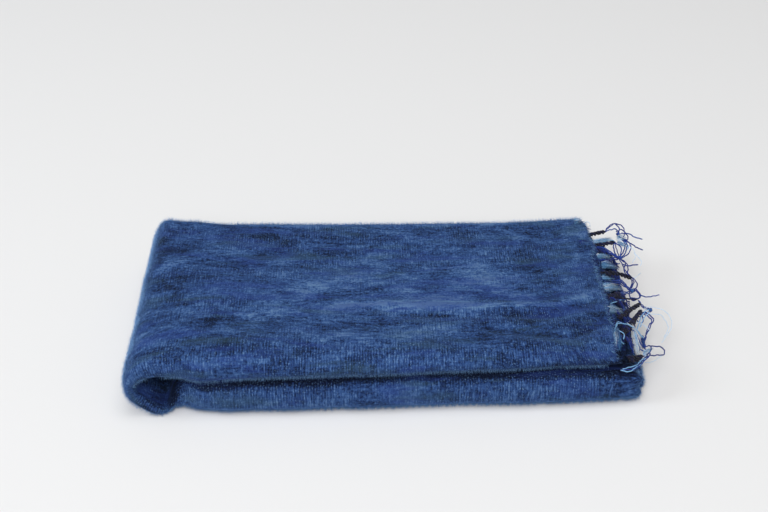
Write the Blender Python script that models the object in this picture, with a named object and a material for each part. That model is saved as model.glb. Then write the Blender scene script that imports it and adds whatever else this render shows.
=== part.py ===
"""Wool shawl folded into a flat pile, with its fringe at one end. Metres, +Z up.

The origin is the middle of the underside. The pile is long in X: the fringe is at +X and the loose end
fold at -X. The smooth lengthwise fold faces -Y, and the layered edges of the cloth face +Y.
Each half of the pile is eight layers thick, and the end fold turns the upper half into the lower one.
"""

import math
import random
from collections import namedtuple

import bmesh
import bpy
from mathutils import Vector

# The pile
SEAM = 0.0003  # clear gap between two solids
SEAM_X = -0.197  # where the end fold meets both halves
ROLL_SHAPE = 0.85  # 1 makes the front roll an ellipse, and less makes it squarer

# Edges at the back: one rolled fold, then four woven edges
BACK_ROLL = 0.010
FOLD_SHARE = 0.5  # the part of the thickness that the rolled fold takes
FOLD_SWELL = 0.96  # how nearly the rolled fold touches the woven edge beside it
EDGE_INSETS = (0.0050, 0.0085, 0.0042, 0.0070)  # each woven edge behind the fold, from the middle out
GROOVE_INSET = 0.0140
GROOVE_SHARE = 0.02  # half a groove's mouth, as a share of the thickness

# Slots that part the layers at the +X end
END_ROUNDING = 0.0018
END_SLOTS = (0.875, 0.75, 0.625)  # levels in the upper half's thickness: between single layers
NOSE_SLOTS = (0.75,)  # between the two doubled sheets, whose ends are closed folds
SLOT_WIDTH = 0.0008
SLOT_DEPTH = 0.016
SLOT_OVERSHOOT = 0.010
SLOT_TURN = 1.4  # how much further back each inner slot turns, in front rolls
SLOT_TURN_STEPS = 6

# Fringe: a narrow backing strip at each pair of layers, with twisted tassels on it
FRINGE_ROWS = 4
TASSELS = 12  # on each row
TASSEL_JITTER = 0.0012  # how unevenly they stand
STRIP_GAP = 0.0008  # the strip's clearance, more than a seam's because the cloth's end is soft
STRIP_DEPTH = 0.0022
STRIP_HEIGHT = 0.0024
STRIP_FRONT = 0.017  # clear of the front roll
STRIP_BACK = 0.012
TWIST_LENGTH = 0.012
TWIST_RADII = (0.0013, 0.0015)
THREAD_RADIUS = 0.00055
THREAD_STEPS = 6
THREAD_REACH = 0.2655  # the furthest that a thread reaches in X
TASSEL_SHORTER = 0.012  # at most
THREAD_SHORTER = 0.010  # at most, within its tassel
THREADS = ((-0.0046, 0.0010), (0.0, -0.0015), (0.0046, 0.0013))  # side and height of each in a tassel
THREAD_SPREAD = 2.2  # how soon the threads of a tassel part
WAVE = 0.0014
LIFT = 0.0011

# Droop and sway that all the threads share
DRIFT_START = 0.222
DRIFT_RAMP = 0.028
SWAY = 0.0095
SWAY_WAVES = 46.0  # radians a metre
ROW_PHASE = 1.9
DROOP = 5.2
HEAVE = 0.0042
HEAVE_WAVES = 31.0

# Resolution
ROLL_STEPS = 11
BACK_STEPS = 6
UPPER_STEPS = 2  # stations from one row of a table to the next
LOWER_STEPS = 1
TURN_STEPS = 2

Section = namedtuple("Section", "outer_x outer_z inner_x inner_z front back roll")
Crease = namedtuple("Crease", "x0 y0 x1 y1 height half_width")

# Upper half, from the end fold to the fringe. Its outer face is the top.
UPPER = (
    Section(SEAM_X, 0.0655, SEAM_X, 0.0330, -0.1237, 0.1240, 0.029),
    Section(-0.150, 0.0642, -0.150, 0.0330, -0.1232, 0.1235, 0.030),
    Section(-0.080, 0.0628, -0.080, 0.0328, -0.1220, 0.1235, 0.030),
    Section(0.000, 0.0620, 0.000, 0.0325, -0.1198, 0.1238, 0.030),
    Section(0.070, 0.0618, 0.070, 0.0325, -0.1155, 0.1250, 0.029),
    Section(0.130, 0.0615, 0.133, 0.0322, -0.1115, 0.1275, 0.028),
    Section(0.172, 0.0618, 0.184, 0.0320, -0.1070, 0.1306, 0.026),
    Section(0.203, 0.0610, 0.222, 0.0318, -0.1020, 0.1325, 0.023),
)

Rounding = namedtuple("Rounding", "out shrink inset")
ROUNDED_END = (
    Rounding(END_ROUNDING * 0.75, 0.97, 0.0010),
    Rounding(END_ROUNDING, 0.91, 0.0026),
)

# Lower half. Its outer face is the flat underside.
LOWER = (
    Section(SEAM_X, 0.0, SEAM_X, 0.0325, -0.1303, 0.1225, 0.018),
    Section(-0.130, 0.0, -0.130, 0.0324, -0.1312, 0.1215, 0.018),
    Section(-0.060, 0.0, -0.060, 0.0322, -0.1290, 0.1210, 0.018),
    Section(0.010, 0.0, 0.010, 0.0320, -0.1258, 0.1205, 0.018),
    Section(0.080, 0.0, 0.080, 0.0320, -0.1230, 0.1215, 0.018),
    Section(0.140, 0.0, 0.140, 0.0317, -0.1210, 0.1235, 0.017),
    Section(0.190, 0.0, 0.190, 0.0315, -0.1180, 0.1250, 0.016),
    Section(0.217, 0.0, 0.217, 0.0312, -0.1155, 0.1260, 0.016),
)
NOSE_LENGTH = 0.017  # the closed fold at the end of the lower half
NOSE_CORNER = 0.015
NOSE_SWEEP = math.radians(84)
NOSE_SHAPE = 0.8  # 1 makes it round, and less makes it blunter
NOSE_STEPS = 5

# End fold, from the top seam round the loose hollow to the bottom seam
END_FOLD = (
    Section(SEAM_X, 0.0655, SEAM_X, 0.0330, -0.1237, 0.1240, 0.029),
    Section(-0.212, 0.0666, -0.211, 0.0398, -0.1240, 0.1250, 0.024),
    Section(-0.236, 0.0662, -0.231, 0.0414, -0.1245, 0.1270, 0.018),
    Section(-0.2540, 0.0600, -0.2470, 0.0412, -0.1250, 0.1278, 0.012),
    Section(-0.2650, 0.0480, -0.2550, 0.0385, -0.1256, 0.1270, 0.008),
    Section(-0.2675, 0.0340, -0.2575, 0.0335, -0.1262, 0.1250, 0.007),
    Section(-0.2640, 0.0200, -0.2535, 0.0268, -0.1265, 0.1235, 0.007),
    Section(-0.2540, 0.0080, -0.2450, 0.0185, -0.1268, 0.1228, 0.007),
    Section(-0.2395, 0.0012, -0.2350, 0.0105, -0.1270, 0.1225, 0.007),
    Section(-0.2280, 0.0, -0.2280, 0.0080, -0.1270, 0.1225, 0.007),
    Section(-0.2195, 0.0, -0.2205, 0.0215, -0.1268, 0.1225, 0.010),
    Section(-0.2090, 0.0, -0.2095, 0.0303, -0.1280, 0.1225, 0.015),
    Section(SEAM_X, 0.0, SEAM_X, 0.0325, -0.1303, 0.1225, 0.018),
)

# Soft ridges and troughs of the top face
CREASES = (
    Crease(-0.020, -0.027, 0.140, -0.025, 0.0026, 0.010),
    Crease(0.140, -0.025, 0.208, 0.005, 0.0034, 0.011),
    Crease(0.070, -0.051, 0.160, -0.060, -0.0026, 0.010),
    Crease(0.160, -0.062, 0.210, -0.032, -0.0030, 0.010),
    Crease(0.120, -0.085, 0.205, -0.082, 0.0022, 0.014),
    Crease(-0.180, 0.040, 0.030, 0.058, -0.0016, 0.022),
    Crease(-0.200, -0.045, -0.070, -0.060, -0.0014, 0.020),
)

CREASE_END = 0.212  # they flatten towards the fringe, to a share that is left at the very end
CREASE_FADE = 0.030
CREASE_REST = 0.25

# Where the top face has a column of points, as shares of its width: close together at the creases
TOP_COLUMNS = (0.0, 0.07, 0.13, 0.19, 0.25, 0.31, 0.36, 0.41, 0.46, 0.52, 0.6, 0.7, 0.8, 0.9, 1.0)
PLAIN_COLUMNS = (0.0, 0.25, 0.5, 0.75, 1.0)


def material(name, colour, roughness):
    made = bpy.data.materials.new(name)
    made.use_nodes = True
    shader = made.node_tree.nodes["Principled BSDF"]
    shader.inputs["Base Color"].default_value = (*colour, 1.0)
    shader.inputs["Roughness"].default_value = roughness
    shader.inputs["Metallic"].default_value = 0.0
    made.diffuse_color = (*colour, 1.0)
    return made


def new_collection(name):
    made = bpy.data.collections.new(name)
    bpy.context.scene.collection.children.link(made)
    return made


def add_object(name, mesh_data, collection, look=None):
    """Puts a finished bmesh in the scene as an object with smooth shading."""
    mesh = bpy.data.meshes.new(name)
    mesh_data.to_mesh(mesh)
    mesh_data.free()
    mesh.shade_smooth()
    mesh.set_sharp_from_angle(angle=math.radians(50))
    if look:
        mesh.materials.append(look)
    made = bpy.data.objects.new(name, mesh)
    collection.objects.link(made)
    return made


def hermite(before, start, end, after, t):
    """A value on the smooth curve from start to end."""
    leave = (end - before) / 2
    arrive = (after - start) / 2
    return (
        (2 * t**3 - 3 * t**2 + 1) * start
        + (t**3 - 2 * t**2 + t) * leave
        + (3 * t**2 - 2 * t**3) * end
        + (t**3 - t**2) * arrive
    )


def between(rows, index, t):
    """The section a share t of the way from one row of a table to the next."""
    before = rows[max(index - 1, 0)]
    after = rows[min(index + 2, len(rows) - 1)]
    values = [hermite(*four, t) for four in zip(before, rows[index], rows[index + 1], after)]
    made = Section(*values)
    return made._replace(outer_z=max(made.outer_z, 0.0))


def stations(rows, steps):
    """The rows of a table with smooth sections put in between."""
    made = []
    for index in range(len(rows) - 1):
        made += [between(rows, index, step / steps) for step in range(steps)]
    made.append(rows[-1])
    return made


def crease_height(x, y):
    """How far the soft ridges and troughs lift the top face at one place."""
    total = 0.0
    for crease in CREASES:
        start = Vector((crease.x0, crease.y0))
        run = Vector((crease.x1, crease.y1)) - start
        share = (Vector((x, y)) - start).dot(run) / run.length_squared
        near = start + run * min(max(share, 0.0), 1.0)
        apart = (Vector((x, y)) - near).length / crease.half_width
        total += crease.height * math.exp(-apart * apart)
    return total * min(max((CREASE_END - x) / CREASE_FADE, CREASE_REST), 1.0)


def place(section, y, share, creased):
    """The point at a depth y and a share of the way from the inner to the outer face."""
    x = section.inner_x + (section.outer_x - section.inner_x) * share
    z = section.inner_z + (section.outer_z - section.inner_z) * share
    if creased:
        z += crease_height(x, y) * share
    return Vector((x, y, z))


def power(value, exponent):
    return math.copysign(abs(value) ** exponent, value)


def outline(section, columns):
    """(y, share) once round a section: front roll, outer face, back edges, inner face."""
    points = []
    for step in range(ROLL_STEPS + 1):
        angle = math.pi * (step / ROLL_STEPS - 0.5)
        y = section.front + section.roll * (1 - power(math.cos(angle), ROLL_SHAPE))
        points.append((y, 0.5 + 0.5 * power(math.sin(angle), ROLL_SHAPE)))
    near = section.front + section.roll
    far = section.back - BACK_ROLL
    points += [(near + (far - near) * column, 1.0) for column in columns[1:]]
    half = (1.0 - FOLD_SHARE) / 2
    for step in range(1, BACK_STEPS + 1):
        angle = math.pi * (0.5 - step / BACK_STEPS)
        share = 1.0 - half + half * FOLD_SWELL * math.sin(angle)
        points.append((far + BACK_ROLL * math.cos(angle), share))
    layer = FOLD_SHARE / len(EDGE_INSETS)
    groove = section.back - GROOVE_INSET
    for index, inset in enumerate(EDGE_INSETS):
        top = FOLD_SHARE - index * layer
        edge = section.back - inset
        points.append((groove, top))
        points.append((edge, top - GROOVE_SHARE))
        points.append((edge, top - layer + GROOVE_SHARE))
    points += [(groove + (near - groove) * step / 4, 0.0) for step in range(4)]
    return points


def loft(rings):
    """A closed solid through rings of the same number of points."""
    made = bmesh.new()
    loops = [[made.verts.new(point) for point in ring] for ring in rings]
    count = len(rings[0])
    for first, second in zip(loops, loops[1:]):
        for index in range(count):
            after = (index + 1) % count
            made.faces.new((first[index], first[after], second[after], second[index]))
    made.faces.new(loops[0])
    made.faces.new(loops[-1])
    bmesh.ops.recalc_face_normals(made, faces=made.faces)
    return made


def ring(section, columns, creased, shrink=1.0, inset=0.0):
    """The points of one section, drawn in towards its middle by shrink and at its sides by inset."""
    middle = (section.front + section.back) / 2
    half = (section.back - section.front) / 2
    points = []
    for y, share in outline(section, columns):
        drawn = middle + (y - middle) * (1 - inset / half)
        points.append(place(section, drawn, 0.5 + (share - 0.5) * shrink, creased))
    return points


def moved(section, offset):
    return section._replace(outer_x=section.outer_x + offset, inner_x=section.inner_x + offset)


def upper_rings():
    rows = stations((moved(UPPER[0], SEAM / 2),) + UPPER[1:], UPPER_STEPS)
    rings = [ring(row, TOP_COLUMNS, True) for row in rows]
    for row in ROUNDED_END:
        end = moved(UPPER[-1], row.out)
        rings.append(ring(end, TOP_COLUMNS, True, row.shrink, row.inset))
    return rings


def lower_rings():
    rows = stations((moved(LOWER[0], SEAM / 2),) + LOWER[1:], LOWER_STEPS)
    rings = [ring(row, PLAIN_COLUMNS, False) for row in rows]
    for step in range(1, NOSE_STEPS + 1):
        angle = NOSE_SWEEP * step / NOSE_STEPS
        end = moved(LOWER[-1], NOSE_LENGTH * math.sin(angle))
        shrink = math.cos(angle) ** NOSE_SHAPE
        rings.append(ring(end, PLAIN_COLUMNS, False, shrink, NOSE_CORNER * (1 - math.cos(angle))))
    return rings


def end_fold_rings():
    first = moved(END_FOLD[0], -SEAM / 2)
    last = moved(END_FOLD[-1], -SEAM / 2)
    rows = stations((first,) + END_FOLD[1:-1] + (last,), TURN_STEPS)
    return [ring(row, PLAIN_COLUMNS, False) for row in rows]


def slot_path(section, level):
    """(y, share) along a slot: in at one level, round inside the front roll and back out below."""
    start = section.back - BACK_ROLL
    outside = section.back + SLOT_OVERSHOOT
    turn = section.front + section.roll * (1.0 + SLOT_TURN * (1.0 - level))
    reach = section.roll * (2.0 * level - 1.0)
    points = [(start + (turn - start) * step / 3, level) for step in range(3)]
    for step in range(SLOT_TURN_STEPS + 1):
        angle = math.pi * (0.5 - step / SLOT_TURN_STEPS)
        points.append((turn - reach * math.cos(angle), 0.5 + (level - 0.5) * math.sin(angle)))
    points += [(turn + (outside - turn) * step / 3, 1.0 - level) for step in range(1, 4)]
    return points


def middle_path(section):
    """(y, share) along the slot between the innermost layers."""
    start = section.front + section.roll * (1.0 + SLOT_TURN / 2)
    outside = section.back + SLOT_OVERSHOOT
    return [(start + (outside - start) * step / 4, 0.5) for step in range(5)]


def slot_rings(section, path, creased):
    """Four corners at each point of a slot's path."""
    thickness = abs(section.outer_z - section.inner_z)
    deep = moved(section, -SLOT_DEPTH)
    proud = moved(section, SLOT_OVERSHOOT + NOSE_LENGTH)
    rings = []
    for index, (y, share) in enumerate(path):
        ahead = path[min(index + 1, len(path) - 1)]
        behind = path[max(index - 1, 0)]
        run = Vector((ahead[0] - behind[0], (ahead[1] - behind[1]) * thickness)).normalized()
        side = run.orthogonal() * SLOT_WIDTH / 2
        corners = []
        for sign, row in ((1, deep), (-1, deep), (-1, proud), (1, proud)):
            corner_share = share + sign * side.y / thickness
            corners.append(place(row, y + sign * side.x, corner_share, creased))
        rings.append(corners)
    return rings


def cut_slots(target, section, levels, creased, cutters):
    """Parts the layers at one end of a stack with thin slots."""
    paths = [slot_path(section, level) for level in levels]
    paths.append(middle_path(section))
    for number, path in enumerate(paths, 1):
        name = f"{target.name}_slot_{number}"
        cutter = add_object(name, loft(slot_rings(section, path, creased)), cutters)
        cutter.hide_render = True
        cutter.display_type = "WIRE"
        cut = target.modifiers.new(name, "BOOLEAN")
        cut.operation = "DIFFERENCE"
        cut.object = cutter


def grow(mesh_data, face, path, radii):
    """Extrudes a face along a path, a radius for each point after the first, and returns its last place."""
    middle = face.calc_center_median()
    corners = [vert.co - middle for vert in face.verts]
    direction = face.normal.copy()
    for index, radius in enumerate(radii, 1):
        after = path[min(index + 1, len(path) - 1)]
        heading = (after - path[index - 1]).normalized()
        turn = direction.rotation_difference(heading)
        corners = [turn @ corner for corner in corners]
        direction = heading
        face = bmesh.ops.extrude_discrete_faces(mesh_data, faces=[face])["faces"][0]
        for vert, corner in zip(face.verts, corners):
            vert.co = path[index] + corner.normalized() * radius
    return face


def drift(point, row):
    """Sways and drops a thread's point. It is smooth, so threads that are apart stay apart."""
    out = max(point.x - DRIFT_START, 0.0)
    ramp = min(out / DRIFT_RAMP, 1.0)
    y = point.y + SWAY * ramp * math.sin(SWAY_WAVES * point.y + ROW_PHASE * row)
    heave = HEAVE * ramp * ramp * math.sin(HEAVE_WAVES * y)
    return Vector((point.x, y, point.z - DROOP * out * out + heave))


def thread_path(start, end_x, side, height, row, dice):
    """Points of one thread, which waves a little as it runs out."""
    phase = dice.uniform(0, 2 * math.pi)
    points = []
    for step in range(THREAD_STEPS + 1):
        share = step / THREAD_STEPS
        spread = min(share * THREAD_SPREAD, 1.0)
        x = start.x + (end_x - start.x) * share
        y = start.y + (side + WAVE * math.sin(phase + 5 * share)) * spread
        z = start.z + (height + LIFT * math.cos(phase + 4 * share)) * spread
        points.append(drift(Vector((x, y, z)), row))
    return points


def add_tassel(mesh_data, face, row, dice):
    """A twisted root on one face of the strip, parting into threads."""
    base = face.calc_center_median()
    half_way = base + Vector((TWIST_LENGTH / 2, 0, 0))
    root_end = base + Vector((TWIST_LENGTH, 0, 0))
    tip = grow(mesh_data, face, [base, drift(half_way, row), drift(root_end, row)], TWIST_RADII)
    fan = bmesh.ops.poke(mesh_data, faces=[tip])["faces"]
    fan.sort(key=lambda part: part.calc_center_median().y)
    middle = min(fan[1:3], key=lambda part: part.calc_center_median().z)
    reach = THREAD_REACH - dice.uniform(0.0, TASSEL_SHORTER)
    for part, (side, height) in zip((fan[0], middle, fan[3]), THREADS):
        end_x = reach - dice.uniform(0.0, THREAD_SHORTER)
        path = thread_path(root_end, end_x, side, height, row, dice)
        path[0] = part.calc_center_median()
        part.normal_update()
        grow(mesh_data, part, path, [THREAD_RADIUS] * (THREAD_STEPS - 1) + [THREAD_RADIUS / 2])


def fringe_strip(row, dice):
    """Rings of four corners along a backing strip, each tassel's place between two of them."""
    near = moved(UPPER[-1], END_ROUNDING + STRIP_GAP)
    far = moved(near, STRIP_DEPTH)
    share = 1.0 - (row + 0.5) / FRINGE_ROWS
    half = STRIP_HEIGHT / 2 / (near.outer_z - near.inner_z)
    start = near.front + STRIP_FRONT
    stop = near.back - STRIP_BACK
    pitch = (stop - start) / TASSELS
    depths = [start]
    for tassel in range(TASSELS):
        middle = start + pitch * (tassel + 0.5) + dice.uniform(-TASSEL_JITTER, TASSEL_JITTER)
        depths += [middle - TWIST_RADII[0], middle + TWIST_RADII[0]]
    depths.append(stop)
    corners = ((near, share - half), (near, share + half), (far, share + half), (far, share - half))
    return [[place(section, y, level, True) for section, level in corners] for y in depths]


def add_fringe_row(row, look, collection):
    dice = random.Random(row)
    made = loft(fringe_strip(row, dice))
    outer = [face for face in made.faces if face.normal.x > 0.5]
    outer.sort(key=lambda face: face.calc_center_median().y)
    for face in outer[1::2]:
        add_tassel(made, face, row, dice)
    return add_object(f"fringe_row_{row + 1}", made, collection, look)


def build():
    for item in list(bpy.data.objects):
        bpy.data.objects.remove(item)
    parts = new_collection("wool_shawl")
    cutters = new_collection("cutters")
    wool = material("blue_wool", (0.036, 0.078, 0.196), 0.95)
    threads = material("fringe_threads", (0.012, 0.030, 0.120), 0.85)

    upper = add_object("cloth_upper_half", loft(upper_rings()), parts, wool)
    cut_slots(upper, moved(UPPER[-1], END_ROUNDING), END_SLOTS, True, cutters)
    lower = add_object("cloth_lower_half", loft(lower_rings()), parts, wool)
    cut_slots(lower, moved(LOWER[-1], NOSE_LENGTH), NOSE_SLOTS, False, cutters)
    add_object("cloth_end_fold", loft(end_fold_rings()), parts, wool)
    for row in range(FRINGE_ROWS):
        add_fringe_row(row, threads, parts)


build()
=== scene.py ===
"""Wool shawl folded into a flat pile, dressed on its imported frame. Metres, +Z up.

The cloth is one sheet of 1.0 by 2.0 m, folded as the real one is. Its two plies meet in the closed fold
at the end of the lower half. Together they are folded twice across their width, and then turned once
round the loose end fold. The two cut ends, with their fringe, lie at the +X end of the upper half.
"""

import math
from collections import namedtuple

import bpy
import numpy as np
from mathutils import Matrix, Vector
from mathutils.bvhtree import BVHTree


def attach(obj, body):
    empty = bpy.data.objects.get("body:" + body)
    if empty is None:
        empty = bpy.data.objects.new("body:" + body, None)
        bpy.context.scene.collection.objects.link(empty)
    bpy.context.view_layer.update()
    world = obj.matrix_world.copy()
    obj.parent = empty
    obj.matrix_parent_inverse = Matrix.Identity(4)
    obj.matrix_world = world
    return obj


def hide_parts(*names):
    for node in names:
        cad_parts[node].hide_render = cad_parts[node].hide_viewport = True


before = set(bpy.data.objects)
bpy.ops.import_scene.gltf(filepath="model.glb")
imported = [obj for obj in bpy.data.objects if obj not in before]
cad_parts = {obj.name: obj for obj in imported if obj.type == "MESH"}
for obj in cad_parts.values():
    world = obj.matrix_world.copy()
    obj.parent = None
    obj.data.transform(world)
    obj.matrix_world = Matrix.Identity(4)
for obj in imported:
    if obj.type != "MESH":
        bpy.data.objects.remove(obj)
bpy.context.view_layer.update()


def metres(value):
    """A number, or nested rows of numbers, given in millimetres."""
    if isinstance(value, tuple):
        return tuple(metres(part) for part in value)
    return round(value / 1000.0, 7)


def unit(values):
    """Values held between 0 and 1."""
    return np.clip(values, 0.0, 1.0)


def rise(values, start, run):
    """From 0 at the start to 1 a run past it."""
    return unit((values - start) / run)


def fall(values, stop, run):
    """From 1 a run before the stop to 0 at it."""
    return unit((stop - values) / run)


def hump(values, half):
    """One at zero, falling softly to almost nothing at two half widths."""
    return np.exp(-((values / half) ** 2))


def distances(path):
    """How far along a path each of its points lies."""
    return np.concatenate(([0.0], np.cumsum(np.linalg.norm(np.diff(path, axis=0), axis=1))))


def normalised(vectors):
    return vectors / np.maximum(np.linalg.norm(vectors, axis=1), 1e-12)[:, None]


# The cut of the cloth
CUT_WIDTH = 1.0

# The folded stack of one half, eight plies thick
PLY = 0.125  # one ply's share of the thickness
PLY_GAP = 0.00045  # clear space between two plies
GAP_LIMIT = 0.016  # at most this share, where the stack is pressed thin
END_LOOSENESS = 2.2  # how much wider the gaps are at the fringe end
ROLL_SHAPE = 0.85
BACK_ROLL = 0.010  # depth of the rolled fold at the back
BACK_TURN = 0.25  # share of the thickness that this fold reaches up and down
INNER_LEAST = 0.5075  # an inner leg lies at least this far out, clear of the middle
EDGE_ROUNDING = 0.0019
EDGE_INSETS = ((0.0070, 0.0050), (0.0042, 0.0085))  # each ply's two woven edges, in from the back
EDGE_WAVER = 0.0013
BULGE = 0.0009  # how far the front wavers along its length
BULGE_REACH = 0.03
SWELL = 0.00045  # height of the slight unevenness of the upper half
CREASED = (0.25, 0.13)  # middle and half width, as shares of the outer leg, of where the main creases lie

SEAM_X = -0.197  # where the end fold starts
FRONT_FOLD = 0.258  # how far across the cloth its front roll stands

Section = namedtuple("Section", "outer_x outer_z inner_x inner_z front back roll")


def sections(*rows):
    """Sections across the stack, from rows in millimetres."""
    return tuple(Section(*metres(row)) for row in rows)


# Upper half, from the fringe to the end fold. Its outer face is the top.
UPPER = sections(
    (203, 61.0, 222, 34.3, -102.0, 132.5, 23),
    (172, 61.8, 184, 36.4, -107.0, 129.2, 26),
    (130, 61.5, 133, 37.7, -111.5, 125.6, 28),
    (70, 61.8, 70, 38.6, -115.5, 123.2, 29),
    (0, 62.0, 0, 38.6, -119.8, 122.0, 30),
    (-80, 62.8, -80, 37.3, -122.0, 121.2, 30),
    (-150, 64.2, -150, 35.6, -123.2, 120.6, 30),
    (-197, 65.5, -197, 33.0, -123.7, 120.4, 29),
)

# End fold, round the loose hollow
END_FOLD = sections(
    (-212.0, 66.4, -211.0, 39.8, -124.0, 121.2, 24),
    (-236.0, 65.8, -230.0, 41.4, -124.5, 124.5, 16),
    (-253.2, 61.0, -246.0, 41.2, -125.0, 132.5, 10),
    (-261.6, 48.0, -252.2, 38.5, -125.6, 132.5, 8),
    (-264.5, 34.0, -255.5, 33.5, -126.2, 131.0, 7),
    (-261.2, 20.0, -252.0, 26.8, -126.5, 127.5, 7),
    (-249.6, 8.5, -242.2, 18.5, -126.2, 124.5, 7),
    (-235.5, 1.4, -232.0, 10.5, -125.6, 122.5, 7),
    (-228.0, 0.0, -228.0, 8.0, -122.6, 122.5, 7),
    (-219.5, 0.0, -221.5, 20.0, -116.5, 122.5, 14),
    (-209.0, 0.0, -211.0, 30.0, -118.5, 122.5, 18),
)

# Lower half, from the end fold to the closed fold. Its outer face is the flat underside.
LOWER = sections(
    (-197, 0, -197, 32.8, -123.2, 122.5, 18),
    (-130, 0, -130, 35.2, -125.4, 121.5, 18),
    (-60, 0, -60, 36.7, -124.1, 121.0, 18),
    (10, 0, 10, 37.9, -121.3, 120.5, 18),
    (80, 0, 80, 37.9, -119.0, 121.5, 18),
    (140, 0, 140, 36.9, -117.8, 123.5, 17),
    (190, 0, 190, 35.0, -114.2, 125.0, 16),
    (217, 0, 217, 32.6, -111.2, 125.5, 16),
)
NOSE_LENGTH = 0.017
NOSE_CORNER = 0.015
NOSE_FOLD = 0.0046  # depth of each closed fold's own rounding
NOSE_PLY = 0.0036  # how much shallower that rounding is on the ply's inner face
NOSE_RAMP = 0.030
NOSE_STEPS = 9
NOSE_RUN = 0.018  # the cloth's length round the closed fold

# Main creases of the top face, as soft ridges and troughs: height, half width and route in millimetres
Crease = namedtuple("Crease", "height half_width route")
CREASES = [
    Crease(*metres(row))
    for row in (
        (2.7, 8, ((-21, -30), (77, -34), (150, -34), (170, -26), (208, -4))),
        (-1.6, 7, ((-10, -46), (90, -49), (155, -50), (200, -20))),
        (-2.8, 7, ((85, -70), (114, -74), (146, -82), (161, -85), (198, -59))),
        (1.4, 9, ((90, -56), (150, -66), (200, -40))),
        (1.6, 10, ((110, -96), (160, -100), (205, -84))),
        (-1.6, 22, ((-180, 40), (30, 58))),
        (-1.4, 20, ((-200, -45), (-70, -60))),
        (1.2, 8, ((-262, -105), (-190, -52))),
        (-1.1, 9, ((-266, -45), (-195, -12))),
        (1.0, 9, ((-268, 30), (-200, 52))),
        (1.0, 9, ((-150, -88), (10, -83))),
        (0.9, 12, ((-90, 94), (60, 88))),
    )
]
CREASE_END = 0.212
CREASE_FADE = 0.030
CREASE_REST = 0.25

# The top layer's cut end, as depths in millimetres and how far past its section it lies there
CUT_END = (
    ((-119, -5.6), (-97, -4.0), (-75, -1.4), (-62, -0.8), (-48, -3.4), (-31, -3.6), (-5, -2.6))
    + ((10, -4.0), (35, -4.2), (45, -6.2), (60, -4.5), (79.5, -0.2), (93, -4.5), (110, -3.0))
    + ((118, -4.0), (127, -7.0), (135, -11.0))
)
CUT_DEPTHS, CUT_PAST = zip(*metres(CUT_END))
TOP_LAYER = 0.8  # share of the thickness from which these offsets set in
SECOND_END = 0.35  # the second ply's share of these offsets
BACK_SHORT = 0.009  # how much shorter every layer is at the back corner
BACK_SHORT_FROM = 0.088
BACK_SHORT_RUN = 0.030
FRONT_SHORT = 0.007  # and how much shorter the lower layers are at the front corner
FRONT_SHORT_FROM = -0.055
FRONT_SHORT_RUN = 0.035
SCALLOP = 0.0022  # how far a cut end is drawn in between two tassels
TASSEL_PITCH = 0.022
END_WAVER = 0.0017
MOUTH = 0.010  # how far the wall right of the hollow gives way at its front
MOUTH_X = -0.212
MOUTH_HALF = 0.012
MOUTH_TOP = 0.036
END_RAMP = 0.045
END_LIP = 0.0016
LIP_RUN = 0.001  # the cloth's length from ring to ring of a lip
EDGE_RUN = 0.002  # and round a woven edge

# Mesh steps along the sheet
TOP_STEP = 0.0033
TURN_STEP = 0.0027
LOWER_STEP = 0.0065
INNER_SKIP = 5

# How many points across the width: lower leg, front turn, outer leg, back turn, inner legs and turn
LEG_STEPS = 9
FRONT_STEPS = 22
TOP_STEPS = 60
BACK_STEPS = 12
INNER_STEPS = 5
INNER_FRONT_STEPS = 6
CAP_ANGLES = (60.0, 20.0, -20.0, -60.0)  # points round a woven edge
CAP = len(CAP_ANGLES)


def hermite_rows(rows, at, places):
    """Smooth values of a table's rows at places along it, the rows standing at the distances in at."""
    slopes = np.zeros_like(rows)
    step = np.diff(at)[:, None]
    rise = np.diff(rows, axis=0) / step
    slopes[1:-1] = (rise[1:] * step[:-1] + rise[:-1] * step[1:]) / (step[1:] + step[:-1])
    slopes[0] = rise[0]
    slopes[-1] = rise[-1]
    index = np.clip(np.searchsorted(at, places, side="right") - 1, 0, len(at) - 2)
    width = (at[index + 1] - at[index])[:, None]
    t = (places - at[index])[:, None] / width
    return (
        (2 * t**3 - 3 * t**2 + 1) * rows[index]
        + (t**3 - 2 * t**2 + t) * width * slopes[index]
        + (3 * t**2 - 2 * t**3) * rows[index + 1]
        + (t**3 - t**2) * width * slopes[index + 1]
    )


def ripple(values, longest, seed, waves=5):
    """A smooth random wave between about -1 and 1, along distances in metres."""
    dice = np.random.default_rng(seed)
    total = np.zeros_like(values)
    for wave in range(1, waves + 1):
        length = longest / wave * dice.uniform(0.8, 1.25)
        total += np.sin(values * (2 * math.pi / length) + dice.uniform(0, 2 * math.pi)) / wave**0.8
    return total / 1.9


class Stations:
    """The sections of the folded stack at chosen distances along the sheet from its cut end."""

    def __init__(self, rows, at, places):
        values = hermite_rows(rows, at, places)
        self.places = places
        self.outer = values[:, 0:2].copy()
        self.inner = values[:, 2:4].copy()
        self.outer[:, 1] = np.maximum(self.outer[:, 1], 0.0)
        self.front, self.back, self.roll = (values[:, column][:, None] for column in (4, 5, 6))
        across = self.outer - self.inner
        self.thick = np.linalg.norm(across, axis=1)[:, None]
        self.outward = across / self.thick
        self.to_end = unit(1.0 - places / END_RAMP)[:, None]


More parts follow.
